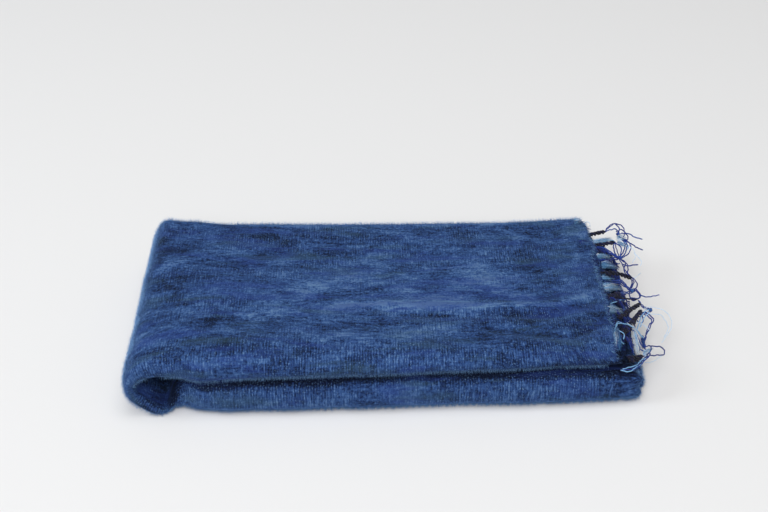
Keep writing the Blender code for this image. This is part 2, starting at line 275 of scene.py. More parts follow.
def hairpin():
    """The sheet's sections from cut end to closed fold, its rings' places, and which lie in the turn."""
    rows = np.array(UPPER + END_FOLD + LOWER)
    outer_steps = np.linalg.norm(np.diff(rows[:, 0:2], axis=0), axis=1)
    inner_steps = np.linalg.norm(np.diff(rows[:, 2:4], axis=0), axis=1)
    at = np.concatenate(([0.0], np.cumsum(np.maximum(outer_steps, inner_steps))))
    start = at[len(UPPER) - 2]
    stop = at[len(UPPER) + len(END_FOLD) + 1]
    spans = ((0.0, start, TOP_STEP), (start, stop, TURN_STEP), (stop, at[-1], LOWER_STEP))
    places = [np.arange(low, high - step * 0.5, step) for low, high, step in spans]
    places = np.concatenate(places + [[at[-1]]])
    return rows, at, places, (places > start) & (places < stop)


def width_steps():
    """Shares along the outer leg of the cloth's width, closer together at the main creases."""
    fine = np.linspace(0.0, 1.0, 400)
    density = 1.0 + 1.3 * hump(fine - CREASED[0], CREASED[1])
    grown = np.concatenate(([0.0], np.cumsum((density[1:] + density[:-1]) / 2)))
    return np.interp(np.linspace(0.0, grown[-1], TOP_STEPS), grown, fine)


def turn_points(stations, level, steps):
    """Depth and share round a front turn at one level, from its lower leg to its upper leg."""
    reach = stations.roll * np.maximum(2.0 * level - 1.0, 0.0)
    middle = stations.front + stations.thick * (1.0 - level) + reach
    angle = math.pi * (np.linspace(0.0, 1.0, steps) - 0.5)
    across = np.cos(angle) ** ROLL_SHAPE
    up = np.sign(np.sin(angle)) * np.abs(np.sin(angle)) ** ROLL_SHAPE
    return middle - reach * across, 0.5 + (level - 0.5) * up, middle


def width_path(stations, level, insets):
    """Depth and share along the cloth's width at one level, from one woven edge to the other."""
    leg = np.linspace(0.0, 1.0, LEG_STEPS)
    far = stations.back - BACK_ROLL
    turn_y, turn_share, near = turn_points(stations, level, FRONT_STEPS)
    first_y = stations.back - insets[0] + (near - stations.back + insets[0]) * leg[:-1]
    depths = [first_y, turn_y, near + (far - near) * width_steps()[1:]]
    shares = [np.broadcast_to(1.0 - level, first_y.shape), turn_share]
    shares.append(np.broadcast_to(level, depths[2].shape))

    angle = math.pi * (0.5 - np.linspace(0.0, 1.0, BACK_STEPS))[1:]
    radius = level - (1.0 - BACK_TURN)
    depths.append(far + BACK_ROLL * (radius / BACK_TURN) * np.cos(angle))
    shares.append(1.0 - BACK_TURN + radius * np.sin(angle))

    inner = np.maximum(2.0 * (1.0 - BACK_TURN) - level, INNER_LEAST)
    inner_y, inner_share, inner_near = turn_points(stations, inner, INNER_FRONT_STEPS)
    forward = far + (inner_near - far) * np.linspace(0.0, 1.0, INNER_STEPS)[1:-1]
    depths += [forward, inner_y[:, ::-1]]
    shares += [np.broadcast_to(inner, forward.shape), inner_share[:, ::-1]]
    home = np.linspace(0.0, 1.0, INNER_STEPS + 3)[1:]
    last_y = inner_near + (stations.back - insets[1] - inner_near) * home
    depths.append(last_y)
    shares.append(np.broadcast_to(1.0 - inner, last_y.shape))
    return np.concatenate(depths, axis=1), np.concatenate(shares, axis=1)


def edge_cap(first_y, first_share, second_y, second_share):
    """Four points round a woven edge, from one side of the ply to the other."""
    depths = []
    shares = []
    for angle in np.radians(CAP_ANGLES):
        depths.append((first_y + second_y) / 2 + EDGE_ROUNDING * math.cos(angle))
        shares.append((first_share + second_share) / 2 + (first_share - second_share) / 2 * math.sin(angle))
    return np.stack(depths, axis=1), np.stack(shares, axis=1)


def ply_rings(stations, ply):
    """Depth and share of the closed ring round one ply, side by side: A faces out, B faces its twin."""
    gap = np.minimum(PLY_GAP / stations.thick, GAP_LIMIT)
    half_gap = gap * (1.0 + (END_LOOSENESS - 1.0) * stations.to_end) / 2
    insets = []
    for edge, inset in enumerate(EDGE_INSETS[ply]):
        waver = EDGE_WAVER * ripple(stations.places, 0.16, 10 * ply + edge)
        insets.append((inset + waver)[:, None])
    if ply == 0:
        levels = (np.ones_like(half_gap), 1.0 - PLY + half_gap)
    else:
        levels = (1.0 - 2 * PLY + half_gap, 1.0 - PLY - half_gap)
    (a_y, a_share), (b_y, b_share) = (width_path(stations, level, insets) for level in levels)
    end_cap = edge_cap(a_y[:, -1], a_share[:, -1], b_y[:, -1], b_share[:, -1])
    start_cap = edge_cap(b_y[:, 0], b_share[:, 0], a_y[:, 0], a_share[:, 0])
    depths = np.concatenate((a_y, end_cap[0], b_y[:, ::-1], start_cap[0]), axis=1)
    shares = np.concatenate((a_share, end_cap[1], b_share[:, ::-1], start_cap[1]), axis=1)
    return depths, shares


def distance_to_route(x, y, route):
    """How far each place is from a route of straight stretches."""
    nearest = np.full(x.shape, 9.0)
    for (x0, y0), (x1, y1) in zip(route, route[1:]):
        run_x, run_y = x1 - x0, y1 - y0
        share = unit(((x - x0) * run_x + (y - y0) * run_y) / (run_x**2 + run_y**2))
        nearest = np.minimum(nearest, np.hypot(x - x0 - share * run_x, y - y0 - share * run_y))
    return nearest


def crease_height(x, y):
    """How far the main creases lift the top face."""
    total = np.zeros_like(x)
    for crease in CREASES:
        total += crease.height * hump(distance_to_route(x, y, crease.route), crease.half_width)
    return total * np.clip((CREASE_END - x) / CREASE_FADE, CREASE_REST, 1.0)


def place_rings(stations, depths, shares, width_share, ply):
    """Points of the rings in the object's frame, with creases and undulations."""
    x = stations.inner[:, 0:1] + (stations.outer - stations.inner)[:, 0:1] * shares
    z = stations.inner[:, 1:2] + (stations.outer - stations.inner)[:, 1:2] * shares
    up = unit(stations.outward[:, 1:2] + 0.3)
    swell = crease_height(x, depths)
    swell += SWELL * ripple(depths * 1.6 + x * 0.12, 0.060, 31, 4) * ripple(x, 0.21, 32, 3)
    x = x + stations.outward[:, 0:1] * swell * shares * up
    z = z + stations.outward[:, 1:2] * swell * shares * up
    bulge = BULGE * ripple(stations.places, 0.11, 33)[:, None]
    nearness = unit(1.0 - (depths - stations.front) / BULGE_REACH)
    y = depths + bulge * nearness**2
    wall = hump(x - MOUTH_X, MOUTH_HALF) * fall(z, MOUTH_TOP, 0.004)
    x = x + MOUTH * wall * nearness**2 * unit(1.0 - shares)
    past = np.interp(y, CUT_DEPTHS, CUT_PAST)
    top_share = rise(shares, TOP_LAYER, 0.07)
    on_top = top_share * (1.0 if ply == 0 else SECOND_END)
    across = width_share * CUT_WIDTH
    waver = END_WAVER * ripple(across, 0.17, 34 + ply, 6)
    waver -= SCALLOP * np.abs(np.sin(math.pi * (across / TASSEL_PITCH + 0.4 * ply)))
    ramp = stations.to_end**2
    x = x + ramp * (on_top * past + waver * (1.0 - 0.6 * top_share))
    short = BACK_SHORT * rise(y, BACK_SHORT_FROM, BACK_SHORT_RUN)
    short = short + FRONT_SHORT * fall(y, FRONT_SHORT_FROM, FRONT_SHORT_RUN)
    x = x - ramp * short * (1.0 - on_top)
    return np.stack((x, y, np.maximum(z, 0.0)), axis=2)


def nose_reach(y, share, last):
    """How far the closed folds reach past the lower half's last section."""
    thin = np.sqrt(unit(1.0 - np.abs(2 * share - 1) ** 2.5))
    side = np.minimum(y - last.front[-1, 0], last.back[-1, 0] - y)
    corner = unit(1.0 - side / NOSE_CORNER)
    return NOSE_LENGTH * np.minimum(thin, np.sqrt(1.0 - corner**2))


def lips(ring, side):
    """Two rings that round off a cut end."""
    middle = (ring[:side] + ring[side + CAP : 2 * side + CAP][::-1]) / 2
    caps = (np.repeat(middle[-1:], CAP, axis=0), np.repeat(middle[:1], CAP, axis=0))
    middles = np.concatenate((middle, caps[0], middle[::-1], caps[1]))
    made = []
    for out, keep in ((0.7, 0.72), (1.0, 0.30)):
        moved = middles + (ring - middles) * keep
        moved[:, 0] += END_LIP * out
        made.append(moved)
    return made


def cloth_grid():
    """Every ring of the sheet, from one cut end round to the other, with its cloth coordinates."""
    rows, at, places, turn = hairpin()
    parts = (places[:10], places[turn][::2], places[~turn][::INNER_SKIP], places[-6:])
    thin_places = np.unique(np.concatenate(parts))
    rings = []
    for ply, chosen in enumerate((places, thin_places)):
        stations = Stations(rows, at, chosen)
        depths, shares = ply_rings(stations, ply)
        side = depths.shape[1] // 2 - CAP
        width = (np.linspace(0, 1, side), np.ones(CAP), np.linspace(1, 0, side), np.zeros(CAP))
        points = place_rings(stations, depths, shares, np.concatenate(width)[None, :], ply)
        reach = nose_reach(depths[-1], unit(shares[-1]), stations)
        ramp = unit((chosen - at[-1] + NOSE_RAMP) / NOSE_RAMP)[:, None]
        points[:, :, 0] += ramp**2 * (reach - NOSE_FOLD)[None, :]
        rings.append(points)
    first, second = rings

    grid = list(first)
    at_u = list(places)
    middle = (first[-1] + second[-1]) / 2
    half = (first[-1] - second[-1]) / 2
    inner_side = np.zeros(len(middle), dtype=bool)
    inner_side[side + CAP - 1 : 2 * side + CAP + 1] = True
    depth = np.where(inner_side, NOSE_FOLD - NOSE_PLY, NOSE_FOLD)
    for step in range(1, NOSE_STEPS):
        angle = math.pi * step / NOSE_STEPS
        turned = middle + half * math.cos(angle)
        turned[:, 0] += depth * math.sin(angle)
        grid.append(turned)
        at_u.append(at[-1] + NOSE_RUN * step / NOSE_STEPS)
    grid += list(second[::-1])
    at_u += list(at[-1] * 2 + NOSE_RUN - thin_places[::-1])

    grid = lips(grid[0], side)[::-1] + grid + lips(grid[-1], side)
    at_u = [-2 * LIP_RUN, -LIP_RUN] + at_u + [at_u[-1] + LIP_RUN, at_u[-1] + 2 * LIP_RUN]
    return np.array(grid), np.array(at_u), real_width(first, side)


def real_width(points, side):
    """Distances across the cloth's width of the ring's points, scaled to the whole cut."""
    along = distances(points[len(points) // 4][:side])
    along *= CUT_WIDTH / along[-1]
    caps = (np.full(CAP, CUT_WIDTH + EDGE_RUN), np.full(CAP, -EDGE_RUN))
    return np.concatenate((along, caps[0], along[::-1], caps[1]))


def values_of(items, name, width=1, kind=np.float32):
    """One property of all of a mesh's points, corners or faces."""
    values = np.empty(len(items) * width, dtype=kind)
    items.foreach_get(name, values)
    return values.reshape(-1, width) if width > 1 else values


def set_values(mesh, name, values):
    """Give each point of a mesh one number."""
    layer = mesh.attributes.new(name, "FLOAT", "POINT")
    layer.data.foreach_set("value", np.asarray(values, dtype=np.float32))


def set_cloth_places(mesh, places):
    """Give each face corner its place on the flat cloth, in metres."""
    layer = mesh.uv_layers.new(name="cloth")
    layer.data.foreach_set("uv", np.asarray(places, dtype=np.float32).ravel())


def linked(name, data):
    """A new object in the scene."""
    made = bpy.data.objects.new(name, data)
    bpy.context.scene.collection.objects.link(made)
    return made


def mesh_object(name, points, faces, look):
    """An object from arrays of points and of faces that all have the same number of corners."""
    mesh = bpy.data.meshes.new(name)
    faces = np.asarray(faces, dtype=np.int32)
    corners = faces.shape[1]
    mesh.vertices.add(len(points))
    mesh.vertices.foreach_set("co", np.asarray(points, dtype=np.float32).ravel())
    mesh.loops.add(faces.size)
    mesh.loops.foreach_set("vertex_index", faces.ravel())
    mesh.polygons.add(len(faces))
    mesh.polygons.foreach_set("loop_start", np.arange(0, faces.size, corners, dtype=np.int32))
    mesh.update(calc_edges=True)
    mesh.validate()
    mesh.shade_smooth()
    mesh.materials.append(look)
    return linked(name, mesh)


def signed_volume(points, quads):
    a, b, c, d = (points[quads[:, corner]] for corner in range(4))
    first = np.einsum("ij,ij->i", a, np.cross(b, c)).sum()
    second = np.einsum("ij,ij->i", a, np.cross(c, d)).sum()
    return (first + second) / 6


def add_cloth(look):
    """The whole shawl as one closed thin sheet."""
    grid, at_u, width_at = cloth_grid()
    count, around = grid.shape[:2]
    index = np.arange(count * around).reshape(count, around)
    after = np.roll(index, -1, axis=1)
    quads = [np.stack((index[:-1], after[:-1], after[1:], index[1:]), axis=2).reshape(-1, 4)]
    for ring, turn in ((index[0], 1), (index[-1], -1)):
        ring = np.roll(ring, CAP // 2)
        half = around // 2
        strip = (ring[: half - 1], ring[1:half], ring[::-1][1:half], ring[::-1][: half - 1])
        quads.append(np.stack(strip, axis=1)[:, ::turn])
    quads = np.concatenate(quads)
    points = grid.reshape(-1, 3)
    if signed_volume(points, quads) < 0:
        quads = quads[:, ::-1]
    cloth = mesh_object("shawl_cloth", points, quads, look)
    coordinates = np.empty((count, around, 2), dtype=np.float32)
    coordinates[:, :, 0] = at_u[:, None]
    coordinates[:, :, 1] = width_at[None, :]
    loops = values_of(cloth.data.loops, "vertex_index", kind=np.int32)
    set_cloth_places(cloth.data, coordinates.reshape(-1, 2)[loops])
    return cloth


# Colours of the wool, from its darkest to its palest
WOOL_STOPS = (
    (0.00, (0.0020, 0.0055, 0.022)),
    (0.14, (0.0048, 0.0130, 0.047)),
    (0.34, (0.0125, 0.0325, 0.112)),
    (0.50, (0.0218, 0.0585, 0.182)),
    (0.66, (0.0355, 0.0870, 0.238)),
    (0.84, (0.0610, 0.1300, 0.300)),
    (1.00, (0.1020, 0.1880, 0.350)),
)
ROYAL = (0.020, 0.045, 0.208)
SLATE = (0.030, 0.066, 0.105)
SPECK = (0.130, 0.240, 0.420)
FUZZ_AND_SHEEN = (0.170, 0.320, 0.580)  # the palest of the hairs that stand; on the hairs at the rim and the foot it is a painted sheen
SHEEN = (0.26, 0.52, 1.0, 1.0)
WEFT_PITCH = 0.0026

# Colours of the fringe, from its darkest roots to its palest fluff
FRINGE_STOPS = (
    (0.00, (0.002, 0.003, 0.009)),
    (0.20, (0.008, 0.010, 0.040)),
    (0.45, (0.010, 0.028, 0.205)),
    (0.58, (0.018, 0.062, 0.320)),
    (0.70, (0.045, 0.150, 0.330)),
    (0.80, (0.115, 0.300, 0.540)),
    (0.90, (0.270, 0.530, 0.870)),
    (1.00, (0.780, 0.820, 0.860)),
)

# Marks of the top face, along short lines: two ends, depth and half width in millimetres, then how much
# pale or dark haze and painted light, royal dye and bare weave
MARK_KINDS = ("haze", "royal", "bare")
Mark = namedtuple("Mark", "x0 x1 y half haze royal bare")
MARKS = [
    Mark(*metres(row[:4]), *row[4:])
    for row in (
        (-175, -113, 78, 13, -0.5, 0.0, 1.0),
        (-258, -226, 6, 26, -0.4, 0.0, 0.6),
        (-212, -188, -29, 11, -0.2, 0.0, 1.0),
        (-171, -152, -3, 9, -0.1, 1.0, 0.0),
        (-152, -92, 6, 19, 0.7, 0.2, -0.6),
        (-122, -91, -28, 12, 0.5, 0.0, -0.3),
        (-234, -207, -76, 9, 0.0, 0.8, 0.0),
        (-265, -247, -78, 9, 0.5, 0.6, -0.5),
        (-94, 9, 62, 12, -0.6, -0.5, 0.9),
        (32, 85, 103, 9, -0.6, -0.5, 0.7),
        (30, 75, 34, 7, 0.6, 0.3, -0.5),
        (49, 81, -4, 7, 0.0, 0.9, -0.5),
        (20, 105, -15, 13, 0.6, 1.6, -1.0),
        (5, 55, 6, 9, 0.8, 0.6, -0.5),
        (-70, -12, -31, 7, 0.5, 0.2, -0.6),
        (-24, 27, -44, 6, -0.8, -0.8, 0.8),
        (28, 44, -64, 6, 0.5, -0.6, 0.6),
        (-72, -32, -80, 7, 0.6, 0.0, -0.4),
        (-69, -55, -55, 10, -0.7, 0.0, 0.4),
        (-32, -13, -78, 10, -0.6, -0.6, 0.4),
        (67, 104, -68, 20, -0.6, -0.8, 0.5),
        (160, 201, 98, 13, 0.4, -0.2, -0.8),
        (108, 149, 64, 17, -0.4, -0.2, 0.9),
        (96, 192, -52, 15, -1.7, 0.8, 1.0),
        (94, 131, -79, 10, 0.1, -0.9, -0.5),
        (-215, -100, -106, 12, -1.6, 0.2, 0.8),
        (0, 200, -103, 14, -0.7, 0.0, 0.8),
        (-200, -100, 108, 10, 0.1, 0.4, -0.3),
        (90, 200, 15, 14, 0.1, 0.0, 0.4),
        (-60, 80, 14, 28, 0.8, 0.2, -0.2),
        (-60, 80, -38, 18, 0.8, 0.0, 0.0),
        (-200, 200, 94, 18, -0.4, 0.0, 0.0),
        (-235, -150, 98, 22, -1.0, 0.2, 0.0),
        (-235, -160, 30, 34, -0.9, 0.2, 0.0),
        # painted shade along the front roll, where it turns down out of the light
        (-200, 205, -123.5, 6, -0.7, 0.0, 0.0),
        (-60, 80, -72, 14, 0.6, 0.0, 0.0),
        (-62, -5, 26, 11, -1.2, 0.0, 0.4),
        (-234, -140, -34, 12, -1.2, 0.2, 0.3),
        (-236, -140, 28, 10, 0.9, 0.2, 0.0),
        (125, 188, 95, 8, 1.1, 0.0, 0.0),
        (30, 62, 27, 9, 1.0, 0.3, 0.0),
        (150, 200, 50, 14, -0.8, 0.0, 0.4),
        (165, 201, 6, 12, -1.0, 0.0, 0.4),
        (138, 176, -36, 5, 1.0, 0.2, -0.4),
        (112, 170, -69, 9, -1.1, 0.0, 0.4),
        (-236, -225, -60, 10, -1.0, 0.0, 0.0),
        (20, 48, -105, 11, 0.9, 0.0, 0.0),
        (-185, -158, 59, 11, -0.8, 0.0, 0.0),
        # painted sheen along the back edge, where the cloth rolls over
        (-200, -60, 115, 4.5, 0.9, 0.2, -0.4),
        (-50, 60, 116.5, 4.5, 1.3, 0.2, -0.4),
        (70, 125, 119, 4.5, 1.2, 0.2, -0.4),
    )
]
MARK_WANDER = 0.006  # how far a broad mark bends to and fro
MARK_BROAD = 0.012  # half width of a mark that does so in full
MARK_WAVE = 55.0  # radians for each metre
MARK_SHIFT = 400.0  # and for each metre of depth between two marks, so no two bend alike
MARK_ENDS = 0.6  # below 1, a mark fades more slowly past its ends than at its sides
MARK_FROM = 0.030  # marks show from this height on, in full a run above it
MARK_RUN = 0.020

# Narrow marks that follow the main creases, pale mostly along the ridges as nap haze with a painted
# highlight, dark mostly along the troughs as painted shade: half width, the same three amounts, and a route
Line = namedtuple("Line", "half haze royal bare route")
LINES = [
    Line(metres(row[0]), *row[1:4], metres(row[4]))
    for row in (
        (4.4, 3.1, 1.1, -1.6, ((-60, -30), (-21, -30), (77, -34), (118, -33))),
        (3.8, 2.8, 0.6, -1.4, ((118, -33), (156, -35), (170, -26), (197, -9))),
        (7.5, -1.1, 0.5, 1.3, ((30, -47), (87, -46), (150, -50), (195, -30))),
        (3.6, -1.2, 0.0, -0.6, ((85, -70), (114, -74), (146, -82), (161, -85), (198, -59))),
        (3.0, 1.0, -0.3, -0.9, ((105, -66), (148, -75), (163, -77), (197, -51))),
        (3.6, 1.6, 0.0, -0.8, ((-255, 3), (-248, 26), (-235, 40), (-216, 41))),
        (3.6, 1.5, 0.0, -0.8, ((-253, -48), (-244, -23), (-229, -12))),
        (3.6, 1.5, 0.0, -0.8, ((-256, -97), (-246, -80), (-229, -71), (-204, -75))),
        (3.6, -1.4, 0.2, 0.0, ((-250, -20), (-243, 3), (-226, 16))),
        (3.4, 1.2, 0.0, -0.8, ((-251, 69), (-240, 83), (-221, 88))),
        (3.5, 0.6, -0.2, -0.6, ((-262, -10), (-235, 10), (-200, 18))),
        (3.0, 0.7, 0.0, -0.6, ((-160, 100), (-140, 104), (-120, 102))),
    )
]

# Painted shade for cloth that lies in shade: the hollow of the end fold, the crevice and the cut ends below
# the top layer
HOLLOW = (-0.232, 0.025)
HOLLOW_RADIUS = 0.0240
HOLLOW_SHADE = 2.5
HALVES_MEET = 0.0335  # height above which the upper half lies
END_SHADE_FROM = 0.199
END_SHADE_TOP = 0.0575
END_SHADE = 1.5
END_SHADE_FRONT = 3.6  # nearest the front, where the cut ends lie in the fringe's shade
END_FRONT = (0.2045, -0.045)  # where that part starts: its x, and its y at the back
BEND = (-0.2215, 0.0065)  # where the cloth turns up from the floor, and how wide that bend looks
BEND_SHADE = 2.0
BEND_REACH = 0.012
BEND_DULL = (0.006, 0.034)  # heights between which the bend doesn't shine, a painted shade
NOSE_COVERED = 3.0  # how far the nap hides the weave at the lower half's closed folds
NOSE_COVERED_FROM = 0.200
NOSE_SHADE = 0.9  # how much painted shade darkens the lower half's right end
NOSE_SHADE_FROM = 0.150
NOSE_SHADE_RUN = 0.040
FOOT_HIGHLIGHT = 4.4  # how much a painted highlight pales the front where it meets the floor
FOOT_HALF = 0.0058
FOOT_FRONT = -0.05
CREVICE_FROM = SEAM_X - 0.02
CREVICE_HALF = 0.0046
CREVICE_SHADE = 6.2
CREVICE_UP = 1.35  # how far its shade reaches up and down, in shares of its half height
CREVICE_DOWN = 0.85
CREVICE_OVERHANG = 0.9  # how much further up the shade reaches where the top roll leans out
OVERHANG_FROM = 0.090
OVERHANG_RUN = 0.060
CREVICE_LEVEL = [row.inner_z - 0.0004 for row in UPPER[::-1]]
CREVICE_PLACES = [row.inner_x for row in UPPER[::-1]]


def over_crevice(x, z):
    """Height above the crevice between the two halves."""
    return z - np.interp(x, CREVICE_PLACES, CREVICE_LEVEL)


def from_hollow(x, z):
    """Distance from the hollow's middle, in shares of its radius."""
    return np.hypot(x - HOLLOW[0], z - HOLLOW[1]) / HOLLOW_RADIUS


def shade(x, y, z):
    """How much painted shade darkens the colour in narrow places, less how much a painted highlight pales it
    at the foot.
    """
    hollow = HOLLOW_SHADE * np.exp(-(from_hollow(x, z) ** 6))
    above = over_crevice(x, z)
    leaning = rise(x, OVERHANG_FROM, OVERHANG_RUN)
    reach = CREVICE_HALF * np.where(above > 0.0, CREVICE_UP + CREVICE_OVERHANG * leaning, CREVICE_DOWN)
    crevice = CREVICE_SHADE * hump(above, reach) * (x > CREVICE_FROM)
    between = fall(z, END_SHADE_TOP, 0.003) * rise(z, HALVES_MEET, 0.002)
    ends = END_SHADE * rise(x, END_SHADE_FROM, 0.004) * between
    near = rise(x, END_FRONT[0], 0.003) * fall(y, END_FRONT[1], 0.010)
    ends = np.maximum(ends, END_SHADE_FRONT * near * (z > HALVES_MEET))
    bend = BEND_SHADE * hump(x - BEND[0], BEND[1]) * rise(z, 0.004, 0.006) * (z < MOUTH_TOP)
    nose = NOSE_SHADE * rise(x, NOSE_SHADE_FROM, NOSE_SHADE_RUN) * (z < HALVES_MEET)
    foot = FOOT_HIGHLIGHT * hump(z, FOOT_HALF) * (y < FOOT_FRONT)
    return hollow + bend + np.maximum(ends, crevice) + nose - foot


def shaded(points):
    """Which places lie in the hollow, in the crevice or on the cut ends below the top layer."""
    x, _, z = points.T
    on_ends = (x > END_SHADE_FROM - 0.003) & (z > HALVES_MEET) & (z < END_SHADE_TOP)
    in_crevice = (np.abs(over_crevice(x, z)) < CREVICE_HALF * 0.8) & (x > SEAM_X)
    return (from_hollow(x, z) < 0.9) | on_ends | in_crevice


def dull_in_shade(cloth, look):
    """Give the shaded faces and the bend at the floor a look that doesn't shine, a painted shade in place of
    their sheen.
    """
    middles = values_of(cloth.data.polygons, "center", 3)
    x, _, z = middles.T
    at_bend = (np.abs(x - BEND[0]) < BEND_REACH) & (z > BEND_DULL[0]) & (z < BEND_DULL[1])
    cloth.data.materials.append(look)
    cloth.data.polygons.foreach_set("material_index", (shaded(middles) | at_bend).astype(np.int32))


def add_marks(cloth):
    """Soft marks on the top face, and painted shade and highlight on every face, as one number a point for
    each kind.
    """
    x, y, z = values_of(cloth.data.vertices, "co", 3).T
    for kind in MARK_KINDS:
        total = np.zeros(len(x))
        for mark in MARKS:
            apart_x = np.maximum(np.maximum(mark.x0 - x, x - mark.x1), 0.0)
            wander = MARK_WANDER * np.sin(x * MARK_WAVE + mark.y * MARK_SHIFT)
            apart_y = y - mark.y + wander * min(mark.half / MARK_BROAD, 1.0)
            apart = np.hypot(apart_x * MARK_ENDS, apart_y)
            total += getattr(mark, kind) * hump(apart, mark.half)
        for line in LINES:
            total += getattr(line, kind) * hump(distance_to_route(x, y, line.route), line.half)
        total *= rise(z, MARK_FROM, MARK_RUN)
        # painted shade, less the painted highlight at the foot
        if kind == "haze":
            total -= shade(x, y, z)
        if kind == "bare":
            total -= NOSE_COVERED * rise(x, NOSE_COVERED_FROM, 0.012) * (z < HALVES_MEET)
        set_values(cloth.data, kind, total)


class Graph:
    """Short ways to add and join shader nodes."""

    def __init__(self, name):
        self.look = bpy.data.materials.new(name)
        self.look.use_nodes = True
        self.tree = self.look.node_tree
        self.shader = self.tree.nodes["Principled BSDF"]

    def node(self, kind, **settings):
        made = self.tree.nodes.new(kind)
        for key, value in settings.items():
            setattr(made, key, value)
        return made

    def fill(self, socket, value):
        """Join a socket to another one, or give it a constant."""
        if isinstance(value, bpy.types.NodeSocket):
            self.tree.links.new(value, socket)
        else:
            socket.default_value = value

    def fill_all(self, node, **values):
        """Fill sockets by name, with an underscore for each blank."""
        for name, value in values.items():
            self.fill(node.inputs[name.replace("_", " ")], value)

    def attribute(self, name):
        return self.node("ShaderNodeAttribute", attribute_name=name).outputs["Fac"]

    def math(self, operation, first, second=0.5, third=0.5):
        made = self.node("ShaderNodeMath", operation=operation)
        for socket, value in zip(made.inputs, (first, second, third)):
            self.fill(socket, value)
        return made.outputs[0]

    def add(self, first, second):
        return self.math("ADD", first, second)

    def times(self, first, second):
        return self.math("MULTIPLY", first, second)

    def plus(self, value, weight, base):
        """The base plus a value times its weight."""
        return self.math("MULTIPLY_ADD", value, weight, base)

    def weigh(self, start, *parts):
        """A start value plus each part's distance from one half, times its weight."""
        for value, weight in parts:
            start = self.add(self.plus(value, weight, -0.5 * weight), start)
        return start

    def noise(self, vector, scale, detail=2.0, roughness=0.5, distortion=0.0):
        scaled = self.node("ShaderNodeVectorMath", operation="MULTIPLY")
        self.fill(scaled.inputs[0], vector)
        self.fill(scaled.inputs[1], scale)
        made = self.node("ShaderNodeTexNoise", noise_dimensions="3D")
        self.fill_all(made, Vector=scaled.outputs[0], Scale=1.0, Detail=detail)
        self.fill_all(made, Roughness=roughness, Distortion=distortion)
        return made.outputs["Fac"]

    def span(self, value, low, high, to_low=0.0, to_high=1.0):
        made = self.node("ShaderNodeMapRange", interpolation_type="SMOOTHSTEP")
        self.fill_all(made, Value=value, From_Min=low, From_Max=high, To_Min=to_low, To_Max=to_high)
        return made.outputs["Result"]

    def ramp(self, value, stops):
        made = self.node("ShaderNodeValToRGB")
        self.fill_all(made, Fac=value)
        points = made.color_ramp.elements
        while len(points) < len(stops):
            points.new(0.5)
        for point, (place, colour) in zip(points, stops):
            point.position = place
            point.color = (*colour, 1.0)
        return made.outputs["Color"]

    def mix(self, share, first, second):
        """A share of the second colour over the first."""
        made = self.node("ShaderNodeMix", data_type="RGBA")
        self.fill(made.inputs[0], share)
        self.fill(made.inputs[6], first)
        self.fill(made.inputs[7], (*second, 1.0))
        return made.outputs[2]

    def bump(self, height, distance):
        made = self.node("ShaderNodeBump")
        self.fill_all(made, Strength=0.5, Distance=distance, Height=height)
        return made.outputs["Normal"]


